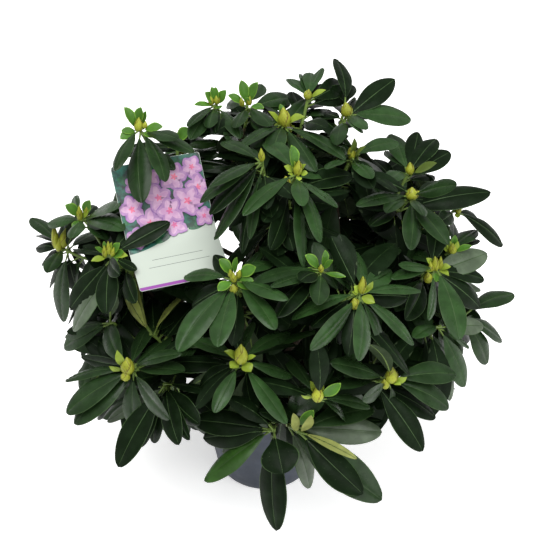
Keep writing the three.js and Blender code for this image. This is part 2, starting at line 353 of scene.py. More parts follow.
def node_points(name):
    mesh = nodes[name].data
    points = np.empty(len(mesh.vertices) * 3, np.float32)
    mesh.vertices.foreach_get("co", points)
    return points.reshape(-1, 3).astype(float)


def search_tree(names):
    """A search tree over the faces of some nodes, and the node that each face belongs to."""
    points, faces, owners = [], [], []
    for name in names:
        mesh = nodes[name].data
        for polygon in mesh.polygons:
            faces.append([len(points) + v for v in polygon.vertices])
            owners.append(name)
        points += [v.co for v in mesh.vertices]
    return BVHTree.FromPolygons(points, faces), owners


crown, crown_owner = search_tree(FOLIAGE)
card = search_tree(["label_card"])[0]


def proud_of_crown(point):
    """How far a point stands outside the masses, below zero inside them."""
    near, normal, _, distance = crown.find_nearest(point)
    outside = (Vector(point) - near).dot(normal) > 0
    return distance if outside else -distance


def in_silhouette(pixel, margin=0):
    """True for a pixel within the crown's outline and more than a margin from its gaps."""
    return within(pixel, CROWN_OUTLINE) and not in_gap(pixel, margin)


def in_gap(pixel, margin):
    """True for a pixel in a gap of the crown, or within so many pixels of it."""
    return any(math.hypot(pixel[0] - x, pixel[1] - y) < radius + margin for x, y, radius in GAPS)


def within(pixel, corners):
    """True for a pixel inside a ring of pixels."""
    x, y = pixel
    inside = False
    for (x0, y0), (x1, y1) in zip(corners, corners[1:] + corners[:1]):
        if (y0 > y) != (y1 > y) and x < x0 + (y - y0) * (x1 - x0) / (y1 - y0):
            inside = not inside
    return inside


def outward(point):
    """The way that a shoot at a point grows: out of the crown's heart, and up to the light."""
    return unit(unit(point - HEART) + TO_LIGHT * WORLD_UP)


def sides_of(axis, hint=WORLD_UP + 0.01 * RIGHT):
    """Two directions square to an axis and to each other."""
    side = unit(cross(axis, hint))
    return side, cross(axis, side)


def degrees_between(a, b):
    return math.degrees(math.acos(np.clip(a @ b, -1, 1)))


# ---------------------------------------------------------------- limbs

STEM_FLARE = 1.12  # the stem's radius at its foot over that of the slice above it
STEM_SINK = 2 * MM
BOUGH_SINK = 9 * MM
SLICED = (0.04, 0.96)  # the shares of a limb's length between which it is sliced
# The bark of a limb: the step between its rings, its sides, its furrows' depth and how fine they are.
STEM_BARK = (1.2 * MM, 44, 1.9 * MM, 3.2)
BOUGH_BARK = (2.2 * MM, 16, 0.8 * MM, 1.6)
FURROW_PACE = 90  # how fast the furrows change along a limb, for each metre
FURROW_SHIFT = 37  # keeps the furrows of two limbs apart
FINER_FURROWS = 2.3  # how much faster the finer half of the furrows changes
MEAN_FURROW = 0.35
STEM_SLICES = 16
BOUGH_SLICES = 14

stem_bundle = Bundle("stem_bark", bark_material, "bark")
bough_bundle = Bundle("bough_bark", bark_material, "bark")


def limb_line(name, slices):
    """Middles and radii along a limb's node, from its thick end to its thin one."""
    points = node_points(name)
    far = points[np.argmax(norm(points - points.mean(0), axis=1))]
    other = points[np.argmax(norm(points - far, axis=1))]
    along = unit(other - far)
    reach = points @ along
    low, high = reach.min(), reach.max()
    edges = np.array([e.vertices[:] for e in nodes[name].data.edges])
    a, b = points[edges[:, 0]], points[edges[:, 1]]
    middles, radii = [], []
    for share in np.linspace(*SLICED, slices):
        level = low + share * (high - low)
        ra, rb = a @ along - level, b @ along - level
        cut = ra * rb < 0
        t = (ra[cut] / (ra[cut] - rb[cut]))[:, None]
        ring = a[cut] * (1 - t) + b[cut] * t
        middle = (ring.min(0) + ring.max(0)) / 2
        middles.append(middle)
        radii.append(np.median(norm(ring - middle, axis=1)))
    order = 1 if np.mean(radii[:4]) >= np.mean(radii[-4:]) else -1
    return np.array(middles)[::order], np.array(radii)[::order]


def resample(line, values, step):
    """The line and its values at even steps, on a smooth curve."""
    run = run_along(line)
    count = max(4, int(run[-1] / step))
    at = np.linspace(0, run[-1], count)
    smooth = on_line(line, run, at)
    for _ in range(max(1, count // 12)):
        smooth[1:-1] = (smooth[:-2] + 2 * smooth[1:-1] + smooth[2:]) / 4
    return smooth, np.interp(at, run, values)


def bark_relief(line, sides, depth, grain):
    """Furrows drawn out along a limb, as an offset for each point of its rings."""
    offsets = np.empty((len(line), sides))
    shift = line[0] * FURROW_SHIFT
    for i, distance in enumerate(run_along(line)):
        for j, turn in enumerate(turns(sides)):
            place = Vector((*polar(grain, turn), distance * FURROW_PACE) + shift)
            furrow = abs(noise.noise(place)) + 0.5 * abs(noise.noise(place * FINER_FURROWS))
            offsets[i, j] = depth * (furrow - MEAN_FURROW)
    return offsets


def add_limb(bundle, foot, middles, radii, bark):
    """A limb with bark, from its foot inside what it grows from, and its line and radii."""
    step, sides, depth, grain = bark
    line, radii = resample(np.vstack((foot, middles)), radii, step)
    fade = np.clip(radii / radii.max(), 0.4, 1)[:, None]
    rings = tube_rings(line, radii[:, None] + bark_relief(line, sides, depth, grain) * fade, sides)
    first, last = rings[:1].mean(1, keepdims=True), rings[-1:].mean(1, keepdims=True)
    closed = (first + (rings[:1] - first) * CLOSING, rings, last + (rings[-1:] - last) * CLOSING)
    bundle.add_grid(np.concatenate(closed), wrap=True)
    return line, radii


def grow_limbs():
    """The stem and the boughs, and for each mass its bough's end, heading and radius."""
    middles, radii = limb_line("main_stem", STEM_SLICES)
    foot = (*middles[0][:2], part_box("root_ball")[1].z - STEM_SINK)
    add_limb(stem_bundle, foot, middles, np.append(radii[:1] * STEM_FLARE, radii), STEM_BARK)
    ends = {}
    for name in BOUGHS:
        middles, radii = limb_line(name, BOUGH_SLICES)
        foot = middles[0] - unit(middles[1] - middles[0]) * BOUGH_SINK
        line, radii = add_limb(bough_bundle, foot, middles, np.append(radii[:1], radii), BOUGH_BARK)
        ends[name.replace("bough_", "foliage_")] = (line[-1], unit(line[-1] - line[-6]), radii[-1])
    return ends


bough_ends = grow_limbs()

# ---------------------------------------------------------------- what the photograph shows

# The shoots that show, each by the pixel of its bud. A leaf is given by its tip's pixel and, where it
# is seen turned, by the width in pixels that it shows. "leaves" are the ring round the bud, "near"
# ones lie before the others and "dark" ones in their shade, whose deep green is painted shade,
# "older" ones grow lower on the twig, "pale" ones show their underside, "near_dark" and "near_pale"
# ones are both, and "bright" and "golden" ones have that colour. What is small is given by its foot's
# pixel, its tip's pixel and its width in pixels: "buds", the "bracts" and yellow "husks" round them,
# "young" leaves, small and bright, and "dull" ones. "tone" is the colour of the shoot's leaves, where
# the deep green of a shoot in shade is painted shade, and "nearer" brings the shoot so many
# millimetres towards the eye.
SHOOTS = {
    "left_top": dict(bud=(139, 127), nearer=66, tone="mid",
        buds=((138, 131, 139, 117, 8), (144, 128, 146, 121, 5)),
        young=((131, 128, 124, 107, 9), (138, 121, 141, 107, 9), (145, 120, 146, 111, 5),
            (133, 133, 120, 139, 9), (133, 131, 121, 131, 6), (146, 130, 163, 127, 8),
            (145, 133, 156, 137, 8)),
        leaves=((115, 171, 14), (142, 203, 24), (165, 182, 15), (194, 153, 12), (178, 139, 10)),
        older=((175, 170), (118, 158, 8))),
    "left_top_small": dict(bud=(175, 140), buds=((174, 144, 176, 132, 7),),
        young=((177, 140, 189, 128, 10),), bright=((219, 141, 11),), leaves=((150, 131),),
        older=((205, 158),)),
    "top_left": dict(bud=(216, 103), buds=((211, 105, 211, 95, 5), (217, 104, 217, 94, 6)),
        young=((212, 104, 205, 92, 9), (212, 98, 211, 87, 7), (217, 99, 216, 87, 8),
            (219, 102, 226, 90, 9), (211, 105, 194, 105, 6), (216, 104, 220, 109, 6)),
        leaves=((188, 127, 8), (190, 140, 18), (209, 128, 15), (240, 139, 14)), dark=((216, 134, 14),),
        older=((225, 118), (200, 112))),
    "top_left_right": dict(bud=(247, 103), buds=((242, 106, 241, 97, 5), (249, 105, 250, 96, 5)),
        young=((245, 98, 241, 80, 9), (251, 100, 258, 82, 10), (242, 101, 228, 95, 7),
            (252, 105, 264, 108, 6), (248, 105, 248, 97, 6)),
        leaves=((261, 84, 18), (228, 103, 16), (271, 126, 13), (236, 128, 12), (292, 98, 16)),
        older=((262, 118),)),
    "top_centre": dict(bud=(284, 122), buds=((285, 126, 283, 107, 12),),
        bracts=((279, 124, 268, 111, 7), (289, 124, 305, 117, 8), (281, 126, 274, 125, 4)),
        young=((281, 113, 280, 104, 6),),
        leaves=((240, 148, 12), (272, 158), (316, 172, 18), (346, 160, 12), (250, 113), (308, 99)),
        older=((300, 150), (325, 140))),
    "top_centre_bud": dict(bud=(308, 96), buds=((307, 99, 309, 89, 8),), bracts=((312, 97, 326, 90, 5),),
        dark=((341, 84, 22), (326, 84, 14), (352, 91, 22)),
        leaves=((289, 79, 14), (302, 75, 10), (311, 73, 17), (322, 68, 11), (334, 89, 20)),
        older=((330, 110), (292, 92))),
    "top_right_hidden": dict(bud=(346, 104), tone="deep", leaves=((336, 59, 16), (350, 84, 18))),
    "top_right": dict(bud=(347, 113), buds=((347, 116, 346, 102, 11),),
        leaves=((411, 119, 21), (366, 130, 12), (361, 133, 7)), dark=((395, 79, 25), (318, 112, 14)),
        older=((330, 125), (322, 138))),
    "right_upper_centre": dict(bud=(351, 156), buds=((351, 158, 352, 146, 8),),
        dull=((355, 153, 354, 138, 7), (359, 156, 366, 146, 5)),
        leaves=((399, 143, 12), (331, 148, 12), (326, 169, 7), (372, 179, 12), (371, 168, 9)),
        older=((340, 185),)),
    "right_top": dict(bud=(410, 171), buds=((410, 174, 410, 162, 8),), dull=((419, 171, 437, 163, 9),),
        leaves=((386, 151, 14), (387, 180, 11), (390, 134, 20)),
        dark=((418, 132, 22), (436, 139, 22), (450, 152, 22), (434, 176, 12)), older=((373, 160, 16),)),
    "right_top_ball": dict(bud=(412, 195), nearer=8,
        buds=((412, 199, 412, 187, 12), (417, 194, 420, 191, 5)), near=((457, 185, 16),),
        leaves=((356, 206, 13), (410, 250, 20), (424, 216, 10), (448, 245, 21), (386, 213, 11)),
        older=((370, 226, 12), (491, 192, 26))),
    "far_right_small": dict(bud=(456, 209), tone="deep", buds=((458, 213, 459, 203, 6),),
        bracts=((457, 212, 454, 203, 4), (459, 212, 463, 204, 4), (458, 212, 458, 218, 5)),
        leaves=((503, 246, 14), (480, 222, 10), (440, 222))),
    "right_middle": dict(bud=(452, 250), buds=((452, 254, 453, 243, 8),),
        bracts=((450, 252, 449, 240, 5), (455, 252, 458, 241, 5), (449, 253, 443, 246, 4)),
        young=((457, 251, 472, 246, 6), (454, 246, 455, 235, 6)),
        leaves=((453, 222, 9), (476, 230, 16), (403, 226, 10)), dark=((479, 240, 10),)),
    "right_centre": dict(bud=(437, 267),
        buds=((436, 270, 435, 256, 7), (440, 269, 441, 256, 5), (432, 271, 430, 261, 5),
            (428, 282, 428, 272, 9)),
        bracts=((433, 266, 426, 258, 5), (442, 269, 451, 267, 6), (440, 272, 449, 276, 6),
            (434, 272, 424, 270, 4)), young=((437, 273, 436, 282, 6),), near=((459, 340, 22),),
        leaves=((408, 252, 16), (399, 266, 9), (391, 279, 12), (478, 297, 20), (428, 320, 8)),
        dark=((480, 308, 22), (484, 279, 16)), older=((405, 320, 20),),
        pale=((487, 253, 27), (481, 290, 10))),
    "right_low": dict(bud=(441, 326), leaves=((413, 338, 14), (465, 387, 18), (469, 347, 6)),
        older=((430, 352, 14), (450, 360, 10)), near_pale=((483, 325, 20),), pale=((450, 401, 12),)),
    "right_low_outer": dict(bud=(466, 314), nearer=-8,
        leaves=((514, 294, 19), (482, 328, 10), (502, 341, 14), (487, 364, 20))),
    "far_left": dict(bud=(60, 246),
        buds=((56, 248, 54, 225, 7), (63, 247, 66, 228, 9), (59, 251, 59, 238, 7)),
        leaves=((31, 218, 14), (37, 236, 9), (47, 273, 15), (55, 273, 4), (86, 267, 13), (102, 230, 14),
            (63, 322, 18)), dark=((36, 248, 11), (78, 291, 20), (43, 263, 12), (66, 221, 13)),
        older=((50, 287, 12), (72, 280, 14))),
    "left_small": dict(bud=(81, 217), buds=((80, 220, 79, 205, 6), (86, 214, 88, 204, 5)),
        bracts=((83, 218, 89, 208, 5),),
        young=((77, 216, 65, 205, 10), (85, 213, 90, 200, 8), (77, 219, 73, 229, 6)),
        leaves=((74, 197, 12), (72, 238, 14), (48, 223, 13), (107, 240, 14), (121, 205, 6),
            (125, 230, 14)), dark=((96, 206, 14),)),
    "left_label": dict(bud=(108, 254), nearer=50, tone="deep",
        buds=((105, 257, 104, 245, 5), (109, 254, 108, 241, 5), (112, 256, 114, 247, 5)),
        bracts=((104, 258, 91, 261, 6), (110, 252, 112, 242, 4), (116, 258, 128, 256, 6)),
        young=((112, 251, 120, 243, 8), (104, 252, 95, 247, 5), (106, 249, 104, 241, 4),
            (114, 256, 124, 252, 7), (110, 256, 118, 261, 8)),
        leaves=((170, 222, 20), (137, 270, 10), (120, 275, 11), (107, 314, 22), (70, 309, 23)),
        older=((70, 310, 12), (136, 303, 12), (130, 305, 14)), pale=((73, 331, 20),)),
    "left_low_pale": dict(bud=(110, 322), nearer=22, leaves=((65, 337, 16), (64, 347, 22), (90, 312, 8))),
    "left_low": dict(bud=(127, 370), buds=((128, 373, 127, 357, 13), (126, 380, 125, 371, 9)),
        bracts=((123, 367, 117, 350, 7), (121, 368, 109, 366, 7)),
        leaves=((107, 324, 20), (152, 321, 15), (171, 336, 14), (182, 354, 12), (185, 371, 14),
            (170, 419, 17), (136, 432, 22), (66, 413, 23), (65, 381, 10)),
        older=((74, 424, 29), (81, 357, 12), (226, 364, 20))),
    "left_low_hidden": dict(bud=(150, 334), nearer=-25, tone="withered",
        leaves=((122, 281, 14), (134, 277, 5), (188, 291, 7)),
        dark=((152, 298, 24), (172, 302, 24), (140, 312, 22), (182, 318, 22), (166, 322, 24),
            (150, 318, 24), (195, 303, 24))),
    "left_low_under": dict(bud=(164, 384), nearer=-20, tone="deep",
        leaves=((118, 467, 28), (153, 443, 16), (179, 445, 22), (190, 440, 12), (200, 424, 18),
            (139, 447, 16)), pale=((107, 422, 12),)),
    "centre_top": dict(bud=(297, 172), buds=((297, 175, 299, 160, 8), (286, 186, 286, 176, 9)),
        bracts=((291, 171, 284, 166, 6), (294, 170, 292, 160, 5), (301, 171, 306, 164, 5),
            (302, 173, 308, 173, 5), (298, 175, 299, 181, 5), (293, 175, 288, 174, 4)),
        young=((292, 166, 291, 145, 11),),
        leaves=((243, 216, 14), (265, 142), (304, 268, 16), (302, 206), (320, 243, 14), (337, 208, 9),
            (326, 174)), older=((270, 250, 17), (352, 175))),
    "centre_top_left": dict(bud=(262, 158), buds=((262, 161, 261, 148, 6),),
        leaves=((214, 240, 16), (200, 203, 16), (210, 187, 15), (221, 142, 11), (238, 146, 14),
            (250, 240, 12)), dark=((210, 215, 18),), older=((242, 254, 10),)),
    "centre": dict(bud=(234, 279), tone="fresh",
        buds=((231, 277, 230, 269, 5), (234, 282, 233, 272, 6), (238, 278, 240, 269, 5),
            (234, 292, 233, 284, 8)),
        young=((230, 269, 219, 259, 10), (235, 269, 237, 257, 6), (241, 271, 256, 267, 10),
            (241, 278, 254, 281, 6), (238, 281, 249, 290, 10), (231, 281, 218, 291, 9)),
        leaves=((184, 277, 13), (275, 262, 13), (288, 300, 15), (275, 330, 17), (218, 347, 19),
            (178, 352, 24)), dark=((192, 306, 22), (202, 322, 22)),
        older=((214, 255), (194, 335, 14), (262, 250, 12))),
    "centre_right": dict(bud=(322, 270), buds=((321, 272, 321, 264, 5),),
        young=((318, 267, 305, 255, 9), (323, 265, 325, 250, 7), (325, 268, 333, 260, 6),
            (318, 271, 304, 272, 6), (316, 284, 305, 292, 8), (328, 273, 346, 277, 5)),
        leaves=((354, 289, 10), (271, 287, 9), (318, 305), (295, 262)),
        dark=((277, 318, 18), (300, 281, 14))),
    "centre_right_low": dict(bud=(361, 292), tone="fresh",
        buds=((362, 293, 363, 276, 8), (356, 308, 354, 298, 10)),
        bracts=((360, 294, 354, 286, 7), (362, 295, 373, 281, 6), (363, 293, 372, 288, 5),
            (362, 298, 375, 303, 8), (359, 295, 352, 292, 4)),
        leaves=((357, 252, 15), (292, 320, 15), (310, 350, 16), (358, 361, 18), (383, 350, 12),
            (414, 345, 13), (421, 291, 12), (391, 270)),
        older=((333, 265), (408, 297), (410, 375, 16), (340, 345, 12))),
    "low_left_centre": dict(bud=(240, 361), tone="fresh", buds=((241, 363, 241, 344, 13),),
        bracts=((237, 362, 224, 351, 7), (238, 363, 230, 368, 9), (243, 364, 251, 372, 10),
            (245, 361, 256, 356, 5)),
        leaves=((253, 322, 12), (291, 333, 13), (293, 376, 13), (287, 424, 17), (214, 413, 17),
            (190, 338, 16)), older=((199, 389, 14), (320, 330, 10))),
    "low_right": dict(bud=(391, 380), tone="mid",
        buds=((391, 382, 393, 367, 12), (386, 388, 384, 379, 8)),
        bracts=((392, 382, 401, 385, 6), (395, 379, 407, 377, 7)),
        leaves=((456, 374, 24), (449, 408, 20), (392, 420, 11), (330, 363, 18), (362, 399, 9)),
        older=((423, 451, 30), (436, 418, 20), (366, 353), (432, 392, 10))),
    "low_centre": dict(bud=(318, 399), tone="mid", buds=((318, 401, 317, 386, 11),),
        bracts=((314, 391, 310, 381, 6), (313, 395, 301, 395, 4), (320, 390, 323, 383, 5)),
        young=((323, 394, 341, 383, 9),),
        leaves=((286, 353, 15), (292, 388, 14), (370, 407, 12), (345, 420, 10)), older=((300, 372, 10),)),
    "foot": dict(bud=(299, 432), nearer=10, tone="mid",
        husks=((298, 433, 293, 413, 8), (304, 434, 311, 415, 9)), young=((297, 421, 314, 410, 9),),
        near_dark=((363, 494, 34),),
        leaves=((374, 409, 22), (275, 396, 11), (319, 460, 8), (259, 400, 12)),
        older=((387, 504, 42), (259, 412, 10), (383, 421, 10)),
        pale=((382, 432, 30), (310, 488, 22), (336, 441, 12)), golden=((357, 459, 10),)),
    "foot_left": dict(bud=(274, 431), nearer=6, tone="deep", near=((283, 474, 42),),
        leaves=((203, 438, 30), (193, 420, 28), (250, 402, 16)), older=((276, 531, 27),),
        pale=((222, 452, 18),), bright=((204, 481, 22),)),
}

# The crown's outline, a little inside its leaves' tips and round the pot, in pixels.
CROWN_OUTLINE = (
    (45, 240), (75, 214), (112, 207), (120, 150), (150, 133), (186, 132), (212, 107), (262, 96),
    (300, 88), (345, 98), (372, 102), (374, 124), (362, 134), (352, 142), (372, 149), (395, 149),
    (425, 140), (440, 170), (460, 190), (450, 206), (454, 234), (480, 242), (474, 284), (490, 305),
    (484, 330), (468, 346), (461, 380), (442, 408), (418, 424), (398, 416), (384, 436), (366, 442),
    (344, 444), (330, 456), (300, 462), (262, 444), (216, 442), (206, 428), (186, 436), (152, 432),
    (126, 452), (112, 430), (80, 404), (72, 345), (56, 290),
)

# The gaps where the background shows through the crown: pixel and radius in pixels.
GAPS = (
    (223, 247, 11), (463, 223, 9), (152, 141, 5), (213, 138, 4), (121, 173, 4), (347, 168, 5),
    (246, 131, 5), (383, 151, 4), (337, 213, 5), (205, 113, 4), (220, 155, 4), (341, 121, 4),
    (368, 137, 8), (395, 236, 3), (444, 205, 3), (407, 186, 3), (128, 271, 4), (77, 262, 4), (94, 308, 3),
    (60, 255, 4), (424, 386, 4), (89, 348, 4), (466, 354, 5), (436, 173, 4), (386, 421, 4), (81, 384, 3),
    (361, 224, 3), (369, 225, 3),
)

# ---------------------------------------------------------------- leaves

# How finely a blade is drawn: its rows, and its columns as shares of its half width.
FINE = (24, np.array((-1, -0.72, -0.4, -0.11, 0, 0.11, 0.4, 0.72, 1)))
PLAIN = (12, np.array((-1, -0.5, 0, 0.5, 1)))
SMALL = (8, np.array((-1, -0.5, 0, 0.5, 1)))
WIDEST = 0.57  # the share of a blade's length where it is widest
BLUNT = 0.54  # the usual tip, where 1 is a pointed one
PETIOLE = 10 * MM
FULL_BLADE = 70 * MM  # a shorter blade is thinner too
SHORTEST_BLADE = 30 * MM
WIDEST_BLADE = 48 * MM
SLIMMEST_BLADE = 21 * MM
SLENDER = 2.75  # a blade's length over its width
THICKNESS = 0.45 * MM
QUILT = 0.9 * MM  # how far a blade swells between its side veins
RIB_GROOVE = 0.3 * MM
PALE_EDGE = np.array((0.95, 1.0))  # its shares of the half width
EDGE_LIFT = 0.12 * MM
SWEEP = 0.55  # how far a side vein runs forward for each step sideways

top_bundles = {tone: Bundle(f"leaves_{tone}", finish) for tone, finish in LEAF_FINISHES.items()}
underside_bundle = Bundle("leaf_undersides", underside_finish)
stalk_bundle = Bundle("leaf_stalks", stalk_finish)
rib_bundle = Bundle("leaf_ribs", rib_finish)
green_twig_bundle = Bundle("green_twigs", stalk_finish)
young_middle_bundle = Bundle("leaf_young_middles", young_middle_finish)
bud_bundle = Bundle("buds", bud_finish)
bud_scale_bundle = Bundle("bud_scales", bud_scale_finish)
twig_bundle = Bundle("twigs", twig_material, "bark")


def outline(t, point=BLUNT):
    """A blade's half width along it, as a share of the greatest: a wedge below, blunter above."""
    below = np.sin(np.clip(t / WIDEST, 0, 1) * math.pi / 2) ** 0.95
    above = np.cos(np.clip((t - WIDEST) / (1 - WIDEST), 0, 1) * math.pi / 2) ** point
    return np.maximum(np.where(t < WIDEST, below, above), 0.012)


class Leaf:
    """One leaf, from its foot on the twig to its tip."""

    def __init__(self, base, tip, up, width, tone, petiole=PETIOLE, detail=FINE):
        chord = tip - base
        self.base, self.chord, self.length = base, chord, norm(chord)
        forward = chord / self.length
        self.up = unit(up - (up @ forward) * forward)
        self.side = cross(forward, self.up)
        self.width, self.tone, self.detail, self.point = width, tone, detail, BLUNT
        self.stalk = min(petiole / self.length, 0.3)
        self.blade = self.length * (1 - self.stalk)
        self.arch = self.length * rng.uniform(0.035, 0.10)
        self.bend = self.length * rng.normal(0, 0.018)
        self.twist = rng.normal(0, 0.16)
        self.fold = rng.uniform(-0.02, 0.30)
        self.curl = rng.uniform(0.25, 0.75)
        self.wave = rng.uniform(0, 2 * math.pi)

    def frame_at(self, s):
        """The middle line at the shares s of the whole length, with its side and its up."""
        hump = 4 * s * (1 - s)
        slope = 4 * (1 - 2 * s)
        middle = self.base + self.chord * s + self.up * (self.arch * hump) + self.side * (self.bend * hump)
        tangent = units(self.chord + self.up * (self.arch * slope) + self.side * (self.bend * slope))
        across = units(cross(tangent, self.up))
        lift = cross(across, tangent)
        cos, sin = np.cos(self.twist * s), np.sin(self.twist * s)
        return middle, across * cos + lift * sin, lift * cos - across * sin

    def place(self, t, sideways, height):
        """Points at the shares t of the blade, so far sideways and up from its middle line."""
        s = self.stalk + (1 - self.stalk) * t[..., None]
        middle, across, lift = self.frame_at(s)
        return middle + across * sideways[..., None] + lift * height[..., None]

    def surface(self, t, u):
        """How far sideways and how high the blade is at the shares u of its half width."""
        half = self.width / 2 * outline(t, self.point)
        edge = np.abs(u)
        sideways = half * u * (1 - (self.curl * edge) ** 2 / 6)
        height = half * (self.fold * edge - self.curl * edge**2 / 2)
        height = height + 0.25 * MM * np.sin(t * 17 + self.wave + 3 * np.sign(u)) * edge**2
        return sideways, height


def leaf_rows(count):
    """Shares of a blade's length, closer together at its ends."""
    x = np.linspace(0, 1, count + 1)
    return 0.6 * x + 0.2 * (1 - np.cos(math.pi * x))


def add_sheet(bundle, leaf, rows, columns, relief, wider=1.0, flip=False):
    """A sheet over shares of a leaf's blade, as far above its surface as relief says."""
    t, u = np.meshgrid(rows, columns, indexing="ij")
    t = np.minimum(t + SWEEP * leaf.width / 2 * outline(t) * np.abs(u) / leaf.blade * (1 - t), 1)
    sideways, height = leaf.surface(t, u)
    bundle.add_grid(leaf.place(t, sideways * wider, height + relief), flip=flip)


def add_leaf(leaf, rib=True):
    """A leaf's two faces, with its rib, and with pale edges where it is drawn finely."""
    count, columns = leaf.detail
    rows = leaf_rows(count)
    scale = min(1.0, leaf.blade / FULL_BLADE)
    relief = 0
    if leaf.detail is FINE:  # side veins on the even rows, and the leaf swelling between them
        edge = np.abs(columns)
        swell = np.where(np.arange(count + 1) % 2 == 1, 1.0, -0.4)[:, None]
        relief = QUILT * scale * swell * np.clip(edge * 3, 0, 1) * (1 - edge) * 1.6
        relief = relief - RIB_GROOVE * (edge < 0.05)
    add_sheet(top_bundles[leaf.tone], leaf, rows, columns, relief)

    # The lower face, on every second row, down by the leaf's thickness inside its edge.
    below = top_bundles[leaf.tone] if leaf.tone in ALIKE_BOTH_SIDES else underside_bundle
    sunk = -THICKNESS * scale * (1 - PLAIN[1] ** 2) ** 0.5
    add_sheet(below, leaf, rows[::2], PLAIN[1], sunk, flip=True)
    if rib:
        add_rib(leaf, count // 2, scale)
    if rib and leaf.detail is FINE:
        for side in (-1, 1):
            add_sheet(rib_bundle, leaf, rows[::2], side * PALE_EDGE, EDGE_LIFT, 1.004, flip=side < 0)


def add_rib(leaf, rows, scale):
    """The stalk, which runs on as a pale rib above the blade and a stronger one below it."""
    t, u = np.meshgrid(np.linspace(0, 0.96, rows + 1), (-1.0, 0.0, 1.0), indexing="ij")
    thick = scale * MM * (0.62 * (1 - t) + 0.18)
    rib_bundle.add_grid(leaf.place(t, thick * u, thick * (0.30 - 0.55 * u**2) + 0.05 * MM))
    thick = scale * MM * (1.15 * (1 - t) + 0.25)
    below = leaf.place(t, thick * u, -thick * (1.0 - 0.9 * u**2) - 0.25 * MM * scale)
    stalk_bundle.add_grid(below, flip=True)
    steps, sides = (5, 6) if leaf.detail is FINE else (3, 4)
    middle, _, lift = leaf.frame_at(np.linspace(0, leaf.stalk + 0.03, steps)[:, None])
    radii = scale * MM * np.interp(np.linspace(0, 1, steps), (0, 0.25, 1), (1.75, 1.4, 1.0))
    add_tube(stalk_bundle, middle - lift * 0.5 * MM * scale, radii, sides)


# ---------------------------------------------------------------- leaves from the photograph

LONGEST = 140 * MM
READ_LENGTHS = (62 * MM, 118 * MM)
READ_LEAST = 55 * MM  # a leaf's length beside half of what it reaches across the view
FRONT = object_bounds()[0][1] - 16 * MM  # no leaf reaches further to the front than this
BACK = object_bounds()[1][1] + 12 * MM
CARD_CLEARANCE = 9 * MM  # between the card and a leaf that lies over it
READ_BEND = 0.4  # of a leaf's usual bend, as its outline follows the photograph
USUAL_LEAN = 92  # degrees between a leaf and its twig
STALK_START = 1.5 * MM  # from the middle of the twig


def tip_on_ray(base, axis, pixel, deeper):
    """Where a leaf from base ends so that the photograph shows its tip at a pixel."""
    ray = pixel_ray(*pixel)
    along = (base - EYE) @ ray
    closest = EYE + ray * along
    off = norm(closest - base)
    length = max(np.clip(0.5 * off + READ_LEAST, *READ_LENGTHS), off * 1.03)
    if length > LONGEST:
        return base + (closest - base) * min(1.0, LONGEST / off)
    reach = math.sqrt(length**2 - off**2)
    wall = card.ray_cast(EYE, ray)[3]
    choices = []
    for way in (-reach, reach):
        tip = closest + ray * way
        if wall is not None and along + way > wall - CARD_CLEARANCE:
            tip = EYE + ray * (wall - CARD_CLEARANCE)
        if tip[1] < FRONT:
            tip = EYE + ray * ((FRONT - EYE[1]) / ray[1])
        lean = degrees_between(unit(tip - base), axis)
        rise = (tip - base)[2] / length
        choices.append((abs(lean - USUAL_LEAN) + 15 * max(0.0, rise - 0.3) - deeper * np.sign(way), tip))
    return min(choices, key=lambda choice: choice[0])[1]


def facing(base, tip, hint, width, shown_width):
    """The way a leaf's face looks, so that it shows the width in pixels read from the photograph."""
    forward = unit(tip - base)
    view = EYE - (base + tip) / 2
    pixels = FOCAL_PIXELS / (-(view @ FORWARD))
    square = unit(view - (view @ forward) * forward)
    natural = unit(hint - (hint @ forward) * forward)
    if not shown_width:
        return natural
    turn = math.acos(min(1.0, shown_width / (width * pixels)))
    sideways = natural - (natural @ square) * square
    size = norm(sideways)
    sideways = sideways / size if size > 1e-6 else cross(square, forward)
    return unit(0.92 * (square * math.cos(turn) + sideways * math.sin(turn)) + 0.08 * natural)


def read_leaf(shoot, reading, below, tone, deeper):
    """A leaf whose tip the photograph shows. below is how far under the bud it grows."""
    base, axis = shoot.at(below)
    tip = tip_on_ray(base, axis, reading[:2], deeper)
    pixels = reading[2] if len(reading) > 2 else 0
    shown = pixels / (FOCAL_PIXELS / ((base - EYE) @ FORWARD))
    width = max(norm(tip - base) - PETIOLE, SHORTEST_BLADE) / SLENDER * rng.uniform(0.94, 1.14)
    if shown:
        width = np.clip(width, shown * 1.02, max(shown * 1.5, SLIMMEST_BLADE))
    width = shown if tone == "yellow" else min(width, WIDEST_BLADE)
    up = facing(base, tip, unit(axis + 0.5 * WORLD_UP), width, pixels)
    leaf = Leaf(base + unit(tip - base) * STALK_START, tip, up, width, tone)
    leaf.bend *= READ_BEND
    add_leaf(leaf)
    shoot.taken.append(unit(tip - base))


# ---------------------------------------------------------------- shoots

BUD_DEPTH = 20 * MM  # how far under the mass's surface a bud sits, along the line of sight
RULE_DEPTH = 24 * MM
INNER_DEPTHS = (58, 120)  # in millimetres
LOWEST_SHOOT = 175 * MM
LOWEST_INNER = 170 * MM
STEM_ROOM = 40 * MM  # kept free round the plant's middle
SAMPLE = 14 * MM  # the masses' faces are sampled once for each square of this side
SPACING = 66 * MM
SPACING_SHOWN = 78 * MM
SPACING_READ = 150 * MM  # from the shoots of the photograph, on faces that look towards the eye
INNER_SPACING = 60 * MM
AT_SURFACE = 6 * MM
TWIG_STEPS = 22
TWIG_SIDES = 8
GREEN_FROM = 12  # the step where a shoot's twig turns green
THIN_TWIG = 2.1 * MM
FORK_STEPS = 10
FORK_SIDES = 9
FORK_DEPTH = 60 * MM  # behind its shoots, a twig makes for this depth before it forks
EYE_DEPTHS = np.linspace(1.0, 2.0, 101)


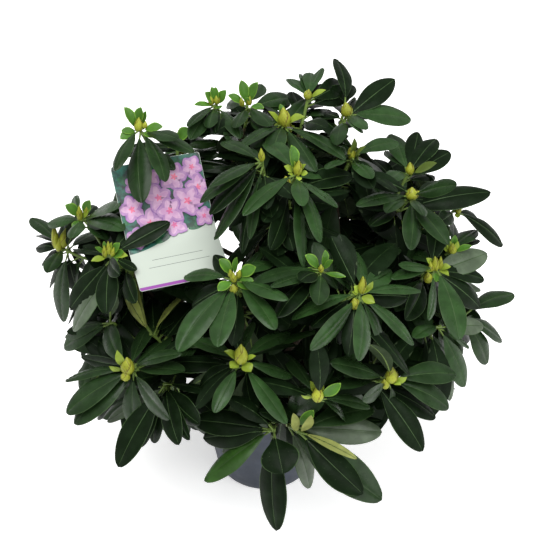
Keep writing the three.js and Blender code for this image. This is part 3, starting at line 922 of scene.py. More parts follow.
class Shoot:
    """A leafy end of a twig: the mass it belongs to, its bud's place, its heading and its twig."""

    def __init__(self, mass, tip, axis, line=None):
        self.mass, self.tip, self.axis, self.line = mass, tip, axis, line
        self.tone = None
        self.taken = []  # the directions of its leaves

    def at(self, below):
        """The point of the twig so far below the bud, and the twig's heading there."""
        line = self.line[::-1]
        run = run_along(line)
        below = min(below, run[-1] * 0.95)
        index = min(int(np.searchsorted(run, below)), len(line) - 2)
        return on_line(line, run, below), unit(line[index] - line[index + 1])


def seat_bud(pixel, nearer):
    """The mass that shows at a bud's pixel, and the bud's place under its surface, or nearer."""
    ray = pixel_ray(*pixel)
    hit, _, face, _ = crown.ray_cast(EYE, ray)
    if hit is not None:
        return crown_owner[face], np.array(hit) + ray * (BUD_DEPTH - nearer)
    near = [crown.find_nearest(EYE + ray * depth) for depth in EYE_DEPTHS]
    best = min(range(len(near)), key=lambda i: near[i][3])
    return crown_owner[near[best][2]], EYE + ray * EYE_DEPTHS[best]


def read_shoots():
    shoots = []
    for reading in SHOOTS.values():
        mass, tip = seat_bud(reading["bud"], reading.get("nearer", 0) * MM)
        shoots.append(Shoot(mass, tip, outward(tip)))
    return shoots


def surface_points():
    """Points dealt out over the faces of the masses, in an order of chance."""
    candidates = []
    for name in FOLIAGE:
        points = node_points(name)
        for polygon in nodes[name].data.polygons:
            corners = points[list(polygon.vertices)]
            for _ in range(rng.poisson(polygon.area / SAMPLE**2)):
                share = rng.dirichlet((1, 1, 1))
                candidates.append((name, share @ corners[:3], np.array(polygon.normal)))
    return [candidates[i] for i in rng.permutation(len(candidates))]


def clear_of(tip, shoots, gap):
    return all(norm(tip - other.tip) > gap for other in shoots)


def rule_shoots(known):
    """Shoots over the rest of the crown, spread evenly over the outer faces of its masses."""
    shoots = []
    for name, point, normal in surface_points():
        away = outward(point)
        if normal @ away < 0.2 or normal[2] < -0.5:
            continue
        if crown.ray_cast(point + normal * AT_SURFACE, away)[0] is not None:
            continue
        tip = point - away * RULE_DEPTH
        hit = crown.ray_cast(EYE, unit(point - EYE))[0]
        shown = hit is not None and (Vector(point) - hit).length < AT_SURFACE
        if tip[2] < LOWEST_SHOOT or in_gap(pixel_of(tip), 12):
            continue
        if shown and not in_silhouette(pixel_of(point), 8):
            continue
        if away @ unit(EYE - point) > 0.25 and not clear_of(tip, known, SPACING_READ):
            continue
        if clear_of(tip, known + shoots, SPACING_SHOWN if shown else SPACING):
            shoots.append(Shoot(name, tip, unit(away + rng.normal(0, 0.12, 3))))
    return shoots


def inner_shoots():
    """Short leafy side shoots within the crown, which fill it behind the outer ones."""
    shoots = []
    for name, point, _ in surface_points():
        away = outward(point)
        tip = point - away * rng.uniform(*INNER_DEPTHS) * MM
        if proud_of_crown(tip) > -12 * MM or norm(tip[:2]) < STEM_ROOM or tip[2] < LOWEST_INNER:
            continue
        if clear_of(tip, shoots, INNER_SPACING):
            shoots.append(Shoot(name, tip, unit(away + rng.normal(0, 0.3, 3))))
    return shoots


def split_family(family):
    """Two groups of shoots, each round one of the two that lie farthest apart."""
    tips = np.array([s.tip for s in family])
    gaps = norm(tips[:, None] - tips[None], axis=2)
    a, b = np.unravel_index(np.argmax(gaps), gaps.shape)
    nearer = gaps[:, a] <= gaps[:, b]
    return [s for s, n in zip(family, nearer) if n], [s for s, n in zip(family, nearer) if not n]


fork_sites, twig_lines = [], []  # a fork is clothed as a shoot that ends there


def fork_twig(place, heading, family, radius):
    """Twigs from a place to a family of shoots: they fork again and again, in two each time."""
    if len(family) == 1:
        grow_twig(place, heading, family[0], radius)
        return
    middle = np.mean([s.tip - s.axis * FORK_DEPTH for s in family], axis=0)
    step = (middle - place) * 0.5
    size = norm(step)
    fork = place + step + rng.normal(0, 0.06, 3) * size
    corners = (place, place + heading * size * 0.4, fork - unit(step) * size * 0.3, fork)
    line = curve_points(corners, FORK_STEPS)
    thin = max(radius * 0.8, THIN_TWIG)
    add_tube(twig_bundle, line, np.linspace(radius, thin, FORK_STEPS), FORK_SIDES)
    onward = unit(line[-1] - line[-3])
    fork_sites.append(Shoot(family[0].mass, line[-1], onward, line))
    for group in split_family(family):
        fork_twig(fork, onward, group, thin)


def grow_twig(place, heading, shoot, radius):
    """The last twig, up to its shoot's bud: brown at first, and green at its end."""
    reach = norm(shoot.tip - place)
    corners = (place, place + heading * reach * 0.3, shoot.tip - shoot.axis * reach * 0.42, shoot.tip)
    shoot.line = curve_points(corners, TWIG_STEPS)
    twig_lines.append(shoot.line)
    radii = np.interp(np.linspace(0, 1, TWIG_STEPS), (0, 0.7, 1), (radius, THIN_TWIG, 2.0 * MM))
    add_tube(twig_bundle, shoot.line[: GREEN_FROM + 1], radii[: GREEN_FROM + 1], TWIG_SIDES)
    add_tube(green_twig_bundle, shoot.line[GREEN_FROM:], radii[GREEN_FROM:] * 0.97, TWIG_SIDES)


def grow_twigs(shoots):
    """Twigs from each bough's end to the shoots of its mass."""
    for mass, (end, heading, radius) in bough_ends.items():
        family = [s for s in shoots if s.mass == mass]
        if family:
            fork_twig(end, heading, family, radius * 0.92)


# ---------------------------------------------------------------- leaves that a rule grows

GOLDEN_TURN = math.pi * (3 - math.sqrt(5))
LABEL_CORNERS = ((104, 164), (200, 146), (246, 279), (146, 292))  # pixels of the label, a little out
HIDING_REACH = 0.25  # how far behind a point it would hide what was read
PROUDEST = 9 * MM  # how far a leaf's tip may stand out of the masses
DROOP = 0.16
# Leaves round a twig: how far under its end the first one grows and each next one, their lean from
# the twig in degrees, their length, and how finely they are drawn. Lengths are in millimetres.
RING = (3, 1.3, (66, 92), (84, 112), FINE)
OLD_RING = (30, 6, (78, 112), (84, 108), PLAIN)
INNER_RING = (2, 3, (58, 104), (80, 108), PLAIN)


def over_label(point):
    """True where a leaf at a point would hide the label from the eye."""
    wall = card.ray_cast(EYE, unit(point - EYE))[3]
    if wall is not None and norm(point - EYE) > wall + 3 * MM:
        return False
    return within(pixel_of(point), LABEL_CORNERS)


def through_card(base, points):
    """True where a line from a leaf's base to one of its points runs through the card."""
    ways = [point - base for point in points]
    return any(card.ray_cast(base, way / norm(way), norm(way))[0] is not None for way in ways)


def bundle_tree(bundles):
    """A search tree over what joined meshes hold so far."""
    points, faces, count = [], [], 0
    for bundle in bundles:
        if bundle.count:
            points.append(np.concatenate(bundle.points))
            faces.append(np.concatenate(bundle.faces) + count)
            count += bundle.count
    return BVHTree.FromPolygons(np.concatenate(points).tolist(), np.concatenate(faces).tolist())


def hides_reading(point):
    """True where something at a point would stand before what was read from the photograph."""
    return read_tree.ray_cast(point, unit(point - EYE), HIDING_REACH)[0] is not None


def rule_leaf(shoot, below, turn, lean, length, tone, detail, crowd):
    """A leaf that the rule grows: left out where it would hide the label or leave the crown."""
    base, axis = shoot.at(below)
    side, other = sides_of(axis)
    radial = side * math.cos(turn) + other * math.sin(turn)
    for _ in range(4):
        way = unit(axis * math.cos(lean) + radial * math.sin(lean) - DROOP * WORLD_UP)
        tip = base + way * length
        if proud_of_crown(tip) < PROUDEST:
            break
        lean += 0.14
        length *= 0.95
    else:
        return
    if not FRONT <= tip[1] <= BACK or any(degrees_between(way, taken) < crowd for taken in shoot.taken):
        return
    checks = [base + (tip - base) * share for share in (0.4, 0.7, 0.97)]
    if any(over_label(point) for point in checks):
        return
    width = (length - PETIOLE) / SLENDER * rng.uniform(0.94, 1.12)
    up = unit(axis + 0.45 * WORLD_UP + rng.normal(0, 0.16, 3))
    across = unit(cross(way, up)) * width / 2
    checks += [point + step for step in (across, -across) for point in checks[:2]]
    if any(hides_reading(point) or not in_silhouette(pixel_of(point)) for point in checks):
        return
    if through_card(base, [tip] + checks):
        return
    add_leaf(Leaf(base + way * STALK_START, tip, up, width, tone, detail=detail))
    shoot.taken.append(way)


def old_tone():
    """The tone of an older leaf, deep in the crown: mostly the deep green, partly its own darker colour
    and partly painted shade.
    """
    return rng.choice(("mid", "deep"), p=(0.2, 0.8))


def add_ring(shoot, ring, start, shift, count, crowd, tone=None):
    """Leaves in a golden spiral down a twig, crowd degrees from one another."""
    first, step, leans, lengths, detail = ring
    for i in range(count):
        turn = start + (i + shift) * GOLDEN_TURN
        lean = math.radians(rng.uniform(*leans))
        length = rng.uniform(*lengths) * MM
        rule_leaf(shoot, (first + step * i) * MM, turn, lean, length, tone or old_tone(), detail, crowd)


def clothe(shoot, count, crowd, tone=None):
    """The leaves that the photograph doesn't place: the rest of the ring, and older ones below."""
    start = rng.uniform(0, 2 * math.pi)
    add_ring(shoot, RING, start, 0, count, crowd, tone or shoot.tone)
    add_ring(shoot, OLD_RING, start, 0.5, 9, 18.0)


def clothe_inner(shoot, count):
    """The older leaves round a fork, or on a side shoot within the crown."""
    add_ring(shoot, INNER_RING, rng.uniform(0, 2 * math.pi), 0, count, 16.0)


# ---------------------------------------------------------------- leaves that close the crown

CHORD = 45 * MM  # a line of sight that runs through less of the crown may stay open
PROBE = 14 * MM  # between the points that are tried along a line of sight
REACH = 98 * MM  # from a twig to such a point
CORE = 190 * MM  # the crown is full this far round its heart, also in a cleft between two masses
CROWN_COLUMNS = (46, 498)  # pixels
CROWN_ROWS = (88, 510)
EYE_STRIDE = 5  # pixels
EYE_REACH = (DISTANCE - 0.3, DISTANCE + 0.35)
LOOKS = 10  # the sides from which the crown is looked through, at each height
LOOK_HEIGHTS = (12, 42, 74)  # degrees above the level
SIDE_REACH = 0.36  # how far the lines of such a look spread to each side of its middle
SIDE_STRIDE = 11 * MM
LOOK_LENGTH = 3.0  # takes a line right through the crown
CLOSING_LENGTHS = (74 * MM, 112 * MM)
LOWEST_TIP = 140 * MM
LEAST_TURN = 0.35  # how far a leaf in front faces the eye, as a cosine


def lines_of_sight():
    """Lines through the crown: where each starts, its direction, and how far along it may be closed."""
    lines = []
    for y in range(*CROWN_ROWS, EYE_STRIDE):
        for x in range(*CROWN_COLUMNS, EYE_STRIDE):
            if in_silhouette((x, y)):
                lines.append((EYE, pixel_ray(x, y), EYE_REACH))
    steps = np.arange(-SIDE_REACH, SIDE_REACH, SIDE_STRIDE)
    for height in np.radians(LOOK_HEIGHTS):
        for k in range(LOOKS):
            turn = 2 * math.pi * (k + 0.5) / LOOKS
            ray = -np.array((*polar(math.cos(height), turn), math.sin(height)))
            side = unit(cross(ray, WORLD_UP))
            up = cross(side, ray)
            for a in steps:
                for b in steps:
                    start = HEART + 0.12 * WORLD_UP - ray + side * a + up * b
                    reach = way_through(start, ray)
                    if reach:
                        lines.append((start, ray, reach))
    return lines


def way_through(start, ray):
    """How far along a line of sight the crown begins and ends, or None."""
    first = crown.ray_cast(start, ray)[3]
    last = crown.ray_cast(start + ray * LOOK_LENGTH, -ray)[3]
    if first is not None and last is not None and LOOK_LENGTH - last - first >= CHORD:
        return first + 18 * MM, LOOK_LENGTH - last - 12 * MM
    nearest = (HEART - start) @ ray
    off = norm(start + ray * nearest - HEART)
    half = math.sqrt(max(CORE**2 - off**2, 0.0))
    return (nearest - half, nearest + half * 0.3) if half > CHORD else None


def close_crown(shoots):
    """Adds older leaves on the twigs wherever a line of sight still runs clear through the crown."""
    spots = [point for shoot in shoots for point in shoot.line[2:]]
    tree = KDTree(len(spots))
    for i, point in enumerate(spots):
        tree.insert(point, i)
    tree.balance()
    leaves = bundle_tree([*top_bundles.values(), underside_bundle, bud_bundle])
    lines = [line for line in lines_of_sight() if leaves.ray_cast(line[0], line[1])[0] is None]
    starts = np.array([line[0] for line in lines])
    rays = np.array([line[1] for line in lines])
    still_open = np.ones(len(lines), bool)
    for i in rng.permutation(len(lines)):
        if not still_open[i]:
            continue
        choices = []
        for along in np.arange(*lines[i][2], PROBE):
            point = starts[i] + rays[i] * along
            spot, _, distance = tree.find(point)
            if distance < REACH:
                score = abs(distance - 40 * MM) + rng.uniform(0, 25) * MM
                choices.append((score, point, np.array(spot)))
        for _, point, spot in sorted(choices, key=lambda choice: choice[0])[:14]:
            way = unit(point - spot + 1e-6 * RIGHT)
            length = np.clip(norm(point - spot) * 1.7, *CLOSING_LENGTHS)
            tip = spot + way * length
            width = (length - PETIOLE) / SLENDER * rng.uniform(1.0, 1.15)
            if closing_leaf(spot, tip, -rays[i], width):
                still_open &= ~covered(starts, rays, spot, tip, width)
                break


def covered(starts, rays, base, tip, width):
    """Which lines of sight pass over a leaf's blade."""
    chord = tip - base
    normal = cross(rays, chord)
    gap = np.abs(((starts - base) * normal).sum(1)) / np.maximum(norm(normal, axis=1), 1e-9)
    # The share of the chord that is nearest to each line.
    offset = base - starts
    b = rays @ chord
    d = (rays * offset).sum(1)
    e = offset @ chord
    share = (b * d - e) / np.maximum(chord @ chord - b * b, 1e-9)
    return (gap < 0.40 * width) & (share > 0.22) & (share < 0.92)


def closing_leaf(base, tip, towards, width):
    """An older leaf from base to tip with its face to the light, if nothing speaks against it."""
    checks = [base + (tip - base) * share for share in (0.35, 0.6, 0.8, 0.97)]
    outside = proud_of_crown(tip) > 14 * MM and norm(tip - HEART) > CORE
    if outside or tip[2] < LOWEST_TIP or not FRONT <= tip[1] <= BACK:
        return False
    if any(over_label(p) or hides_reading(p) or not in_silhouette(pixel_of(p), 3) for p in checks):
        return False
    up = unit(0.7 * towards + 0.9 * WORLD_UP + rng.normal(0, 0.2, 3))
    if base[1] < 0:
        view = unit(EYE - base)
        up = unit(up + max(0.0, LEAST_TURN - up @ view) * view)
    across = unit(cross(tip - base, up)) * width * 0.45
    sides = [point + step for point in checks[:3] for step in (across, -across)]
    if not all(in_silhouette(pixel_of(p)) for p in sides) or through_card(base, [tip] + sides):
        return False
    if any(hides_reading(point + step * 0.45) for point in checks[1:3] for step in (across, -across)):
        return False
    add_leaf(Leaf(base, tip, up, width, old_tone(), detail=PLAIN))
    return True


# ---------------------------------------------------------------- buds

TOWARDS = 0.5  # how far a small piece comes towards the eye for each step across the view
BEHIND_BUD = 24  # for leaves that the photograph shows above their bud
PROPPED = 14 * MM  # how far the tips of dull leaves and husks come towards the eye
FRESH_SHARE = 0.35  # of the shoots
BUD_RINGS = 8
BUD_SIDES = 10
BIG_BUD = 4 * MM  # in radius, from which a bud has more rows of scales
SCALES_ROUND = 3
SCALE_POINTS = 5  # along a scale, and across it

# Each kind of leaf: how many millimetres below the bud the first grows and each next one, its tone,
# and how much it is kept behind the others.
# "dark" and "near_dark" leaves lie in shade, and their deep green is painted shade.
READ_KINDS = (
    ("near", 2, 1, None, -40),
    ("near_dark", 2, 1, "deep", -40),
    ("near_pale", 6, 1, "grey", -10),
    ("leaves", 3, 1.6, None, 0),
    ("dark", 8, 3, "deep", 10),
    ("older", 30, 6, "old", 16),
    ("pale", 26, 8, "grey", 16),
    ("bright", 14, 4, "bright", 0),
    ("golden", 3, 2, "yellow", -40),
)
# Each kind of small piece, its tone, and how far it is folded.
SMALL_KINDS = (
    ("bracts", "lime", 0.55),
    ("husks", "yellow", 0.3),
    ("young", "young", 0.4),
    ("dull", "dull", 0.3),
)


def ovoid(h):
    """A bud's radius along it, as a share of the greatest: full low down, pointed above."""
    return np.sin(math.pi * np.clip(0.08 + 0.92 * h, 0, 1) ** 0.72) ** 0.85


def add_bud(place, axis, length, radius):
    """A bud as a pointed egg, wrapped in scales with brown edges that overlap like roof tiles."""
    side, other = sides_of(axis, unit(np.array((0.31, 0.17, 0.93)) + rng.normal(0, 0.2, 3)))

    def spots(height, out, angle):
        """Places so high up the bud, so far out from its axis and so far round it."""
        around = np.cos(angle)[..., None] * side + np.sin(angle)[..., None] * other
        return place + axis * (height * length)[..., None] + out[..., None] * around

    h = np.linspace(0, 1, BUD_RINGS)[:, None]
    core = spots(h, np.maximum(ovoid(h), 0.04) * radius, turns(BUD_SIDES)[None, :])
    bud_bundle.add_grid(core, wrap=True)
    v, u = np.meshgrid(np.linspace(0, 1, SCALE_POINTS), np.linspace(-1, 1, SCALE_POINTS), indexing="ij")
    for row in range(4 if radius > BIG_BUD else 2):
        for k in range(SCALES_ROUND):
            middle = row * GOLDEN_TURN + k * 2 * math.pi / SCALES_ROUND + rng.normal(0, 0.08)
            for bundle, wider, lift in ((bud_scale_bundle, 1.2, 0.03), (bud_bundle, 1.0, 0.16)):
                height = 0.02 + 0.13 * row + (0.56 - 0.02 * row) * v * (1 + 0.04 * (wider - 1))
                spread = 0.98 * np.cos(v * math.pi / 2) ** 0.6 * u * wider
                out = radius * np.maximum(ovoid(np.minimum(height, 1)), 0.05) * (1.04 + 0.04 * v)
                out = out + (0.55 * v**3 + 0.12 * (1 - u**2) + lift) * MM
                bundle.add_grid(spots(np.minimum(height, 1.04), out, middle + spread), flip=True)


def small_leaf(base, tip, up, width, tone, fold):
    """A bract or a young leaf, pointed and folded up along its middle."""
    leaf = Leaf(base, tip, unit(up + rng.normal(0, 0.15, 3)), width, tone, petiole=2 * MM, detail=SMALL)
    leaf.fold, leaf.curl, leaf.point = fold, 0.15, 1.0 if tone == "lime" else 0.75
    add_leaf(leaf, rib=False)
    if tone == "young":
        t, u = np.meshgrid(np.linspace(0.05, 0.93, 9), (-0.8, -0.4, 0, 0.4, 0.8), indexing="ij")
        sideways, height = leaf.surface(t, u)
        young_middle_bundle.add_grid(leaf.place(t, sideways, height + 0.15 * MM))


def span(shoot, reading):
    """A small piece's foot, tip and width, from its two pixels and its width in pixels."""
    away = (shoot.tip - EYE) @ FORWARD
    rays = [pixel_ray(*reading[:2]), pixel_ray(*reading[2:4])]
    foot, end = [EYE + ray * away / (ray @ FORWARD) for ray in rays]
    tip = end - FORWARD * norm(end - foot) * TOWARDS
    return foot, EYE + unit(end - EYE) * norm(tip - EYE), reading[4] * away / FOCAL_PIXELS


def furnish_read(shoot, reading):
    """A shoot that the photograph shows, with its buds and every leaf that could be read."""
    shoot.tone = reading.get("tone", "fresh" if rng.random() < FRESH_SHARE else "mid")
    for piece in reading.get("buds", ()):
        foot, tip, width = span(shoot, piece)
        way = unit(tip - foot)
        add_bud(foot, way, norm(tip - foot), width / 2)
        if norm(foot - shoot.tip) > 5 * MM:
            line = curve_points((shoot.at(6 * MM)[0], shoot.tip, foot - way * 3 * MM, foot), 6)
            add_tube(stalk_bundle, line, np.full(6, 1.2 * MM), 6)
    for kind, tone, fold in SMALL_KINDS:
        for piece in reading.get(kind, ()):
            foot, tip, width = span(shoot, piece)
            if kind in ("dull", "husks"):
                tip = tip + unit(EYE - tip) * PROPPED
            base = shoot.at(3 * MM)[0] + (foot - shoot.tip) * 0.5
            up = facing(base, tip, shoot.axis, width, piece[4] * 0.85)
            small_leaf(base, tip, up, width * 1.3, tone, rng.uniform(0.6, 1) * fold)
    for kind, below, step, tone, deeper in READ_KINDS:
        for i, leaf in enumerate(reading.get(kind, ())):
            behind = BEHIND_BUD if kind == "leaves" and leaf[1] < reading["bud"][1] - 6 else deeper
            # Most older leaves take the deep green, partly their own darker colour and partly painted
            # shade.
            worn = "deep" if tone == "old" and rng.random() < 0.7 else shoot.tone
            shown = tone if tone in top_bundles else worn
            read_leaf(shoot, leaf, (below + step * i) * MM, shown, behind)


def furnish_rule(shoot):
    """A shoot that only the rule places: a bud with bracts, or slim buds in a ring of young leaves."""
    shoot.tone = "fresh" if rng.random() < FRESH_SHARE else "mid"
    side, other = sides_of(shoot.axis)

    def leaning(turn, lean):
        return unit(shoot.axis + lean * (side * math.cos(turn) + other * math.sin(turn)))

    def ring(count, leans, lengths, width, tone, fold):
        for i in range(count):
            way = leaning(start + i * GOLDEN_TURN, rng.uniform(*leans))
            tip = shoot.tip + way * rng.uniform(*lengths) * MM
            small_leaf(shoot.tip, tip, shoot.axis - 0.25 * way, width, tone, fold)

    start = rng.uniform(0, 2 * math.pi)
    if rng.random() < 0.5:
        add_bud(shoot.tip - shoot.axis * 3 * MM, unit(shoot.axis + 0.3 * WORLD_UP), 20 * MM, 7 * MM)
        ring(rng.integers(2, 5), (0.7, 1.5), (13, 19), 8 * MM, "lime", 0.5)
    else:
        for i in range(3):
            way = leaning(start + i * 2.1, 0.3)
            add_bud(shoot.tip + (way - shoot.axis) * 5 * MM, way, rng.uniform(11, 15) * MM, 3 * MM)
        ring(rng.integers(4, 7), (0.6, 1.6), (20, 30), 10 * MM, "young", 0.35)


# ---------------------------------------------------------------- the plant

read = read_shoots()
ruled = rule_shoots(read)
inner = inner_shoots()
grow_twigs(read + ruled + inner)
for shoot, reading in zip(read, SHOOTS.values()):
    furnish_read(shoot, reading)
read_tree = bundle_tree([*top_bundles.values(), bud_bundle, bud_scale_bundle])
for shoot in ruled:
    furnish_rule(shoot)
# The rest of a read shoot's ring, hidden in shade, takes the deep green as painted shade.
for shoot, reading in zip(read, SHOOTS.values()):
    clothe(shoot, 7 if "buds" in reading else 0, 40.0, "deep")
for shoot in ruled:
    clothe(shoot, 9, 22.0)
for shoot in inner:
    clothe_inner(shoot, 9)
for site in fork_sites:
    clothe_inner(site, 8)
close_crown(read + ruled + inner + fork_sites)

leaf_parts = (underside_bundle, stalk_bundle, rib_bundle, green_twig_bundle, young_middle_bundle)
other_parts = (bud_bundle, bud_scale_bundle, twig_bundle, stem_bundle, bough_bundle)
plant = {bundle.name: bundle.make() for bundle in (*top_bundles.values(), *leaf_parts, *other_parts)}
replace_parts(plant["leaves_mid"], *FOLIAGE)
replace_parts(plant["stem_bark"], "main_stem")
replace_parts(plant["bough_bark"], *BOUGHS)

# ---------------------------------------------------------------- pot

POT_HEIGHT = 150 * MM
FOOT_RADIUS = 72 * MM
RIM_RADIUS = 95 * MM
FOOT_CHAMFER = 4 * MM
WALL = 1.8 * MM
POT_FLOOR = 2.6 * MM
BAND_HEIGHT = 20 * MM
BAND_STEP = 2.2 * MM
RIM_LIP = 2.4 * MM
BODY_TOP = RIM_RADIUS - RIM_LIP - BAND_STEP  # the wall's outer radius under the rim band
DRAIN_HOLES = 6
DRAIN_RADIUS = 5 * MM
DRAIN_CIRCLE = 54 * MM
DRILL_SIDES = 32
POT_SIDES = 144
BODY_RINGS = 18
EDGE_EASE = 0.7 * MM


def pot_profile():
    """Radius and height round the pot's section, from its underside's middle to its floor's."""
    band_low = POT_HEIGHT - BAND_HEIGHT
    band = BODY_TOP + BAND_STEP
    outside = [
        (0.0, 0.0),
        (DRAIN_CIRCLE - 12 * MM, 0.0),
        (DRAIN_CIRCLE + 9 * MM, 0.0),
        (FOOT_RADIUS - FOOT_CHAMFER, 0.0),
        (FOOT_RADIUS - FOOT_CHAMFER * 0.35, FOOT_CHAMFER * 0.3),
        (FOOT_RADIUS + 0.2 * MM, FOOT_CHAMFER),
    ]
    for share in np.linspace(0.08, 1, BODY_RINGS):
        radius = FOOT_RADIUS + share * (BODY_TOP - FOOT_RADIUS)
        outside.append((radius, FOOT_CHAMFER + share * (band_low - EDGE_EASE - FOOT_CHAMFER)))
    rim = [
        (band - EDGE_EASE, band_low),
        (band, band_low + EDGE_EASE),
        (band + 0.2 * MM, POT_HEIGHT - 5 * MM),
        (RIM_RADIUS - 0.6 * MM, POT_HEIGHT - 3.6 * MM),
        (RIM_RADIUS, POT_HEIGHT - 2.6 * MM),
        (RIM_RADIUS, POT_HEIGHT - 0.9 * MM),
        (RIM_RADIUS - 0.9 * MM, POT_HEIGHT),
    ]
    inside = [
        (band - WALL + 0.8 * MM, POT_HEIGHT),
        (band - WALL, POT_HEIGHT - 0.8 * MM),
        (band - WALL, band_low + 2 * MM),
        (BODY_TOP - WALL, band_low - 1 * MM),
        (FOOT_RADIUS - WALL - 0.5 * MM, POT_FLOOR + 2 * MM),
        (FOOT_RADIUS - WALL - 2.5 * MM, POT_FLOOR),
        (0.0, POT_FLOOR),
    ]
    return outside + rim + inside


def lathe(profile, sides):
    """A closed mesh of a profile turned about the Z axis. The profile starts and ends on the axis."""
    mesh = bmesh.new()
    angles = [2 * math.pi * k / sides for k in range(sides)]
    rings = []
    for radius, height in profile:
        if radius == 0:
            rings.append([mesh.verts.new((0, 0, height))] * sides)
        else:
            rings.append([mesh.verts.new((*polar(radius, angle), height)) for angle in angles])
    for lower, upper in zip(rings, rings[1:]):
        for k in range(sides):
            corners = [lower[k], lower[(k + 1) % sides], upper[(k + 1) % sides], upper[k]]
            mesh.faces.new(list(dict.fromkeys(corners)))
    return mesh


def smooth(mesh, degrees):
    """Shades a mesh smooth, with the edges over an angle left sharp."""
    mesh.polygons.foreach_set("use_smooth", np.ones(len(mesh.polygons), bool))
    mesh.set_sharp_from_angle(angle=math.radians(degrees))


def solid(name, shape):
    """A helper object of a shape."""
    mesh = bpy.data.meshes.new(name)
    shape.to_mesh(mesh)
    thing = bpy.data.objects.new(name, mesh)
    link(thing)
    return thing


def make_pot():
    drill = bmesh.new()
    size = dict(segments=DRILL_SIDES, radius1=DRAIN_RADIUS, radius2=DRAIN_RADIUS, depth=20 * MM)
    for k in range(DRAIN_HOLES):
        made = bmesh.ops.create_cone(drill, cap_ends=True, **size)
        place = (*polar(DRAIN_CIRCLE, 2 * math.pi * (k + 0.5) / DRAIN_HOLES), 0)
        bmesh.ops.translate(drill, verts=made["verts"], vec=place)
    body, tool = solid("pot_solid", lathe(pot_profile(), POT_SIDES)), solid("pot_drill", drill)
    cut = body.modifiers.new("drain_holes", "BOOLEAN")
    cut.operation, cut.object, cut.solver = "DIFFERENCE", tool, "EXACT"
    shape = bpy.data.meshes.new_from_object(body.evaluated_get(bpy.context.evaluated_depsgraph_get()))
    for thing in (body, tool):
        bpy.data.objects.remove(thing)
    smooth(shape, 32)
    shape.name = "pot_body"
    finish = Finish("pot_slate_plastic", (38, 46, 58), 0.5, 0.35)
    finish.tint(finish.noise(26, 4), (46, 54, 68), 0.4, 0.7)
    finish.roughen(finish.noise(60, 3), 0.42, 0.58)
    finish.raise_by(finish.noise(700, 2), 0.08 * MM, 0.7)
    piece = finished("pot_body", shape, finish.material)
    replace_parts(piece, "pot")


make_pot()

# ---------------------------------------------------------------- compost

COMPOST_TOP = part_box("root_ball")[1].z
COMPOST_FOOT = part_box("root_ball")[0].z
COMPOST_SIDE_RINGS = 12
COMPOST_RINGS = 46  # over its top
COMPOST_SIDES = 120
MOUND_RADIUS = 35 * MM
MOUND = 3.2  # in millimetres
# Lumps in the compost's top: their pace for each metre and their height in millimetres.
LUMPS = ((60, 2.2), (170, 1.6), (420, 0.8))
CHIPS = 620
PERLITE = 90
STEM_GAP = 17 * MM  # no chip lies nearer to the stem's middle


def compost_radius(height):
    share = (height - POT_FLOOR) / (POT_HEIGHT - BAND_HEIGHT - POT_FLOOR)
    low, high = FOOT_RADIUS - WALL, BODY_TOP - WALL
    return low + min(share, 1.0) * (high - low) - 0.4 * MM


def compost_height(x, y):
    """Lumps over the top, and a slight mound at the stem."""
    lumps = sum(noise.noise(Vector((x, y, 0)) * pace) * height for pace, height in LUMPS)
    mound = MOUND * math.exp(-((x / MOUND_RADIUS) ** 2) - (y / MOUND_RADIUS) ** 2)
    return COMPOST_TOP - 3.6 * MM + (lumps + mound) * MM


def make_compost():
    angles = turns(COMPOST_SIDES)
    circle = np.stack((np.cos(angles), np.sin(angles)), 1)
    rings = []

    def ring(radius, height):
        rings.append(np.column_stack((circle * radius, np.full(COMPOST_SIDES, height))))

    ring(0.2 * MM, COMPOST_FOOT)
    ring(compost_radius(COMPOST_FOOT) - 3 * MM, COMPOST_FOOT)
    ring(compost_radius(COMPOST_FOOT), COMPOST_FOOT + 2 * MM)
    for height in np.linspace(COMPOST_FOOT, COMPOST_TOP - 8 * MM, COMPOST_SIDE_RINGS)[1:]:
        ring(compost_radius(height), height)
    for share in np.linspace(1, 0.002, COMPOST_RINGS):
        flat = circle * compost_radius(COMPOST_TOP) * share
        rings.append(np.column_stack((flat, [compost_height(x, y) for x, y in flat])))
    finish = Finish("compost", (52, 38, 28), 0.95, 0.2)
    finish.tint(finish.noise(420, 5, 0.7), (92, 68, 48), 0.48, 0.66)
    finish.tint(finish.noise(190, 4, 0.6), (28, 20, 16), 0.5, 0.64)
    finish.raise_by(finish.noise(650, 5, 0.7), 1.6 * MM)
    bundle = Bundle("compost", finish.material, "potting_soil")
    bundle.add_grid(np.array(rings), wrap=True)
    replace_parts(bundle.make(), "root_ball")


def scatter(name, count, sizes, colour):
    """Small broken lumps that lie in the top of the compost, sized in millimetres."""
    finish = Finish(name, colour, 0.9, 0.25)
    finish.tint(finish.noise(220, 3), [c * 0.55 for c in colour], 0.4, 0.65)
    finish.raise_by(finish.noise(900, 3), 0.4 * MM)
    bundle = Bundle(name, finish.material, "potting_soil")
    square = ((-1, -1), (1, -1), (1, 1), (-1, 1))
    cube = np.array([(x, y, z) for z in (-1, 1) for x, y in square], float)
    around = [(k, (k + 1) % 4, (k + 1) % 4 + 4, k + 4) for k in range(4)]
    faces = np.array([(3, 2, 1, 0), (4, 5, 6, 7), *around])
    for _ in range(count):
        radius = (compost_radius(COMPOST_TOP) - 6 * MM) * math.sqrt(rng.random())
        x, y = polar(radius, rng.uniform(0, 2 * math.pi))
        if math.hypot(x, y) < STEM_GAP:
            continue
        size = rng.uniform(*sizes) * MM / 2
        shape = cube * (1, rng.uniform(0.4, 0.8), rng.uniform(0.3, 0.6)) + rng.normal(0, 0.16, (8, 3))
        axes = np.linalg.qr(rng.normal(0, 1, (3, 3)))[0]
        if np.linalg.det(axes) < 0:
            axes[:, 0] *= -1
        bundle.add(shape @ axes.T * size + (x, y, compost_height(x, y) + 0.3 * size), faces)
    piece = bundle.make()
    piece.data.polygons.foreach_set("use_smooth", np.zeros(len(piece.data.polygons), bool))


make_compost()
scatter("bark_chips", CHIPS, (2.2, 7.5), (98, 68, 44))
scatter("perlite", PERLITE, (1.2, 2.6), (214, 210, 200))

# ---------------------------------------------------------------- label

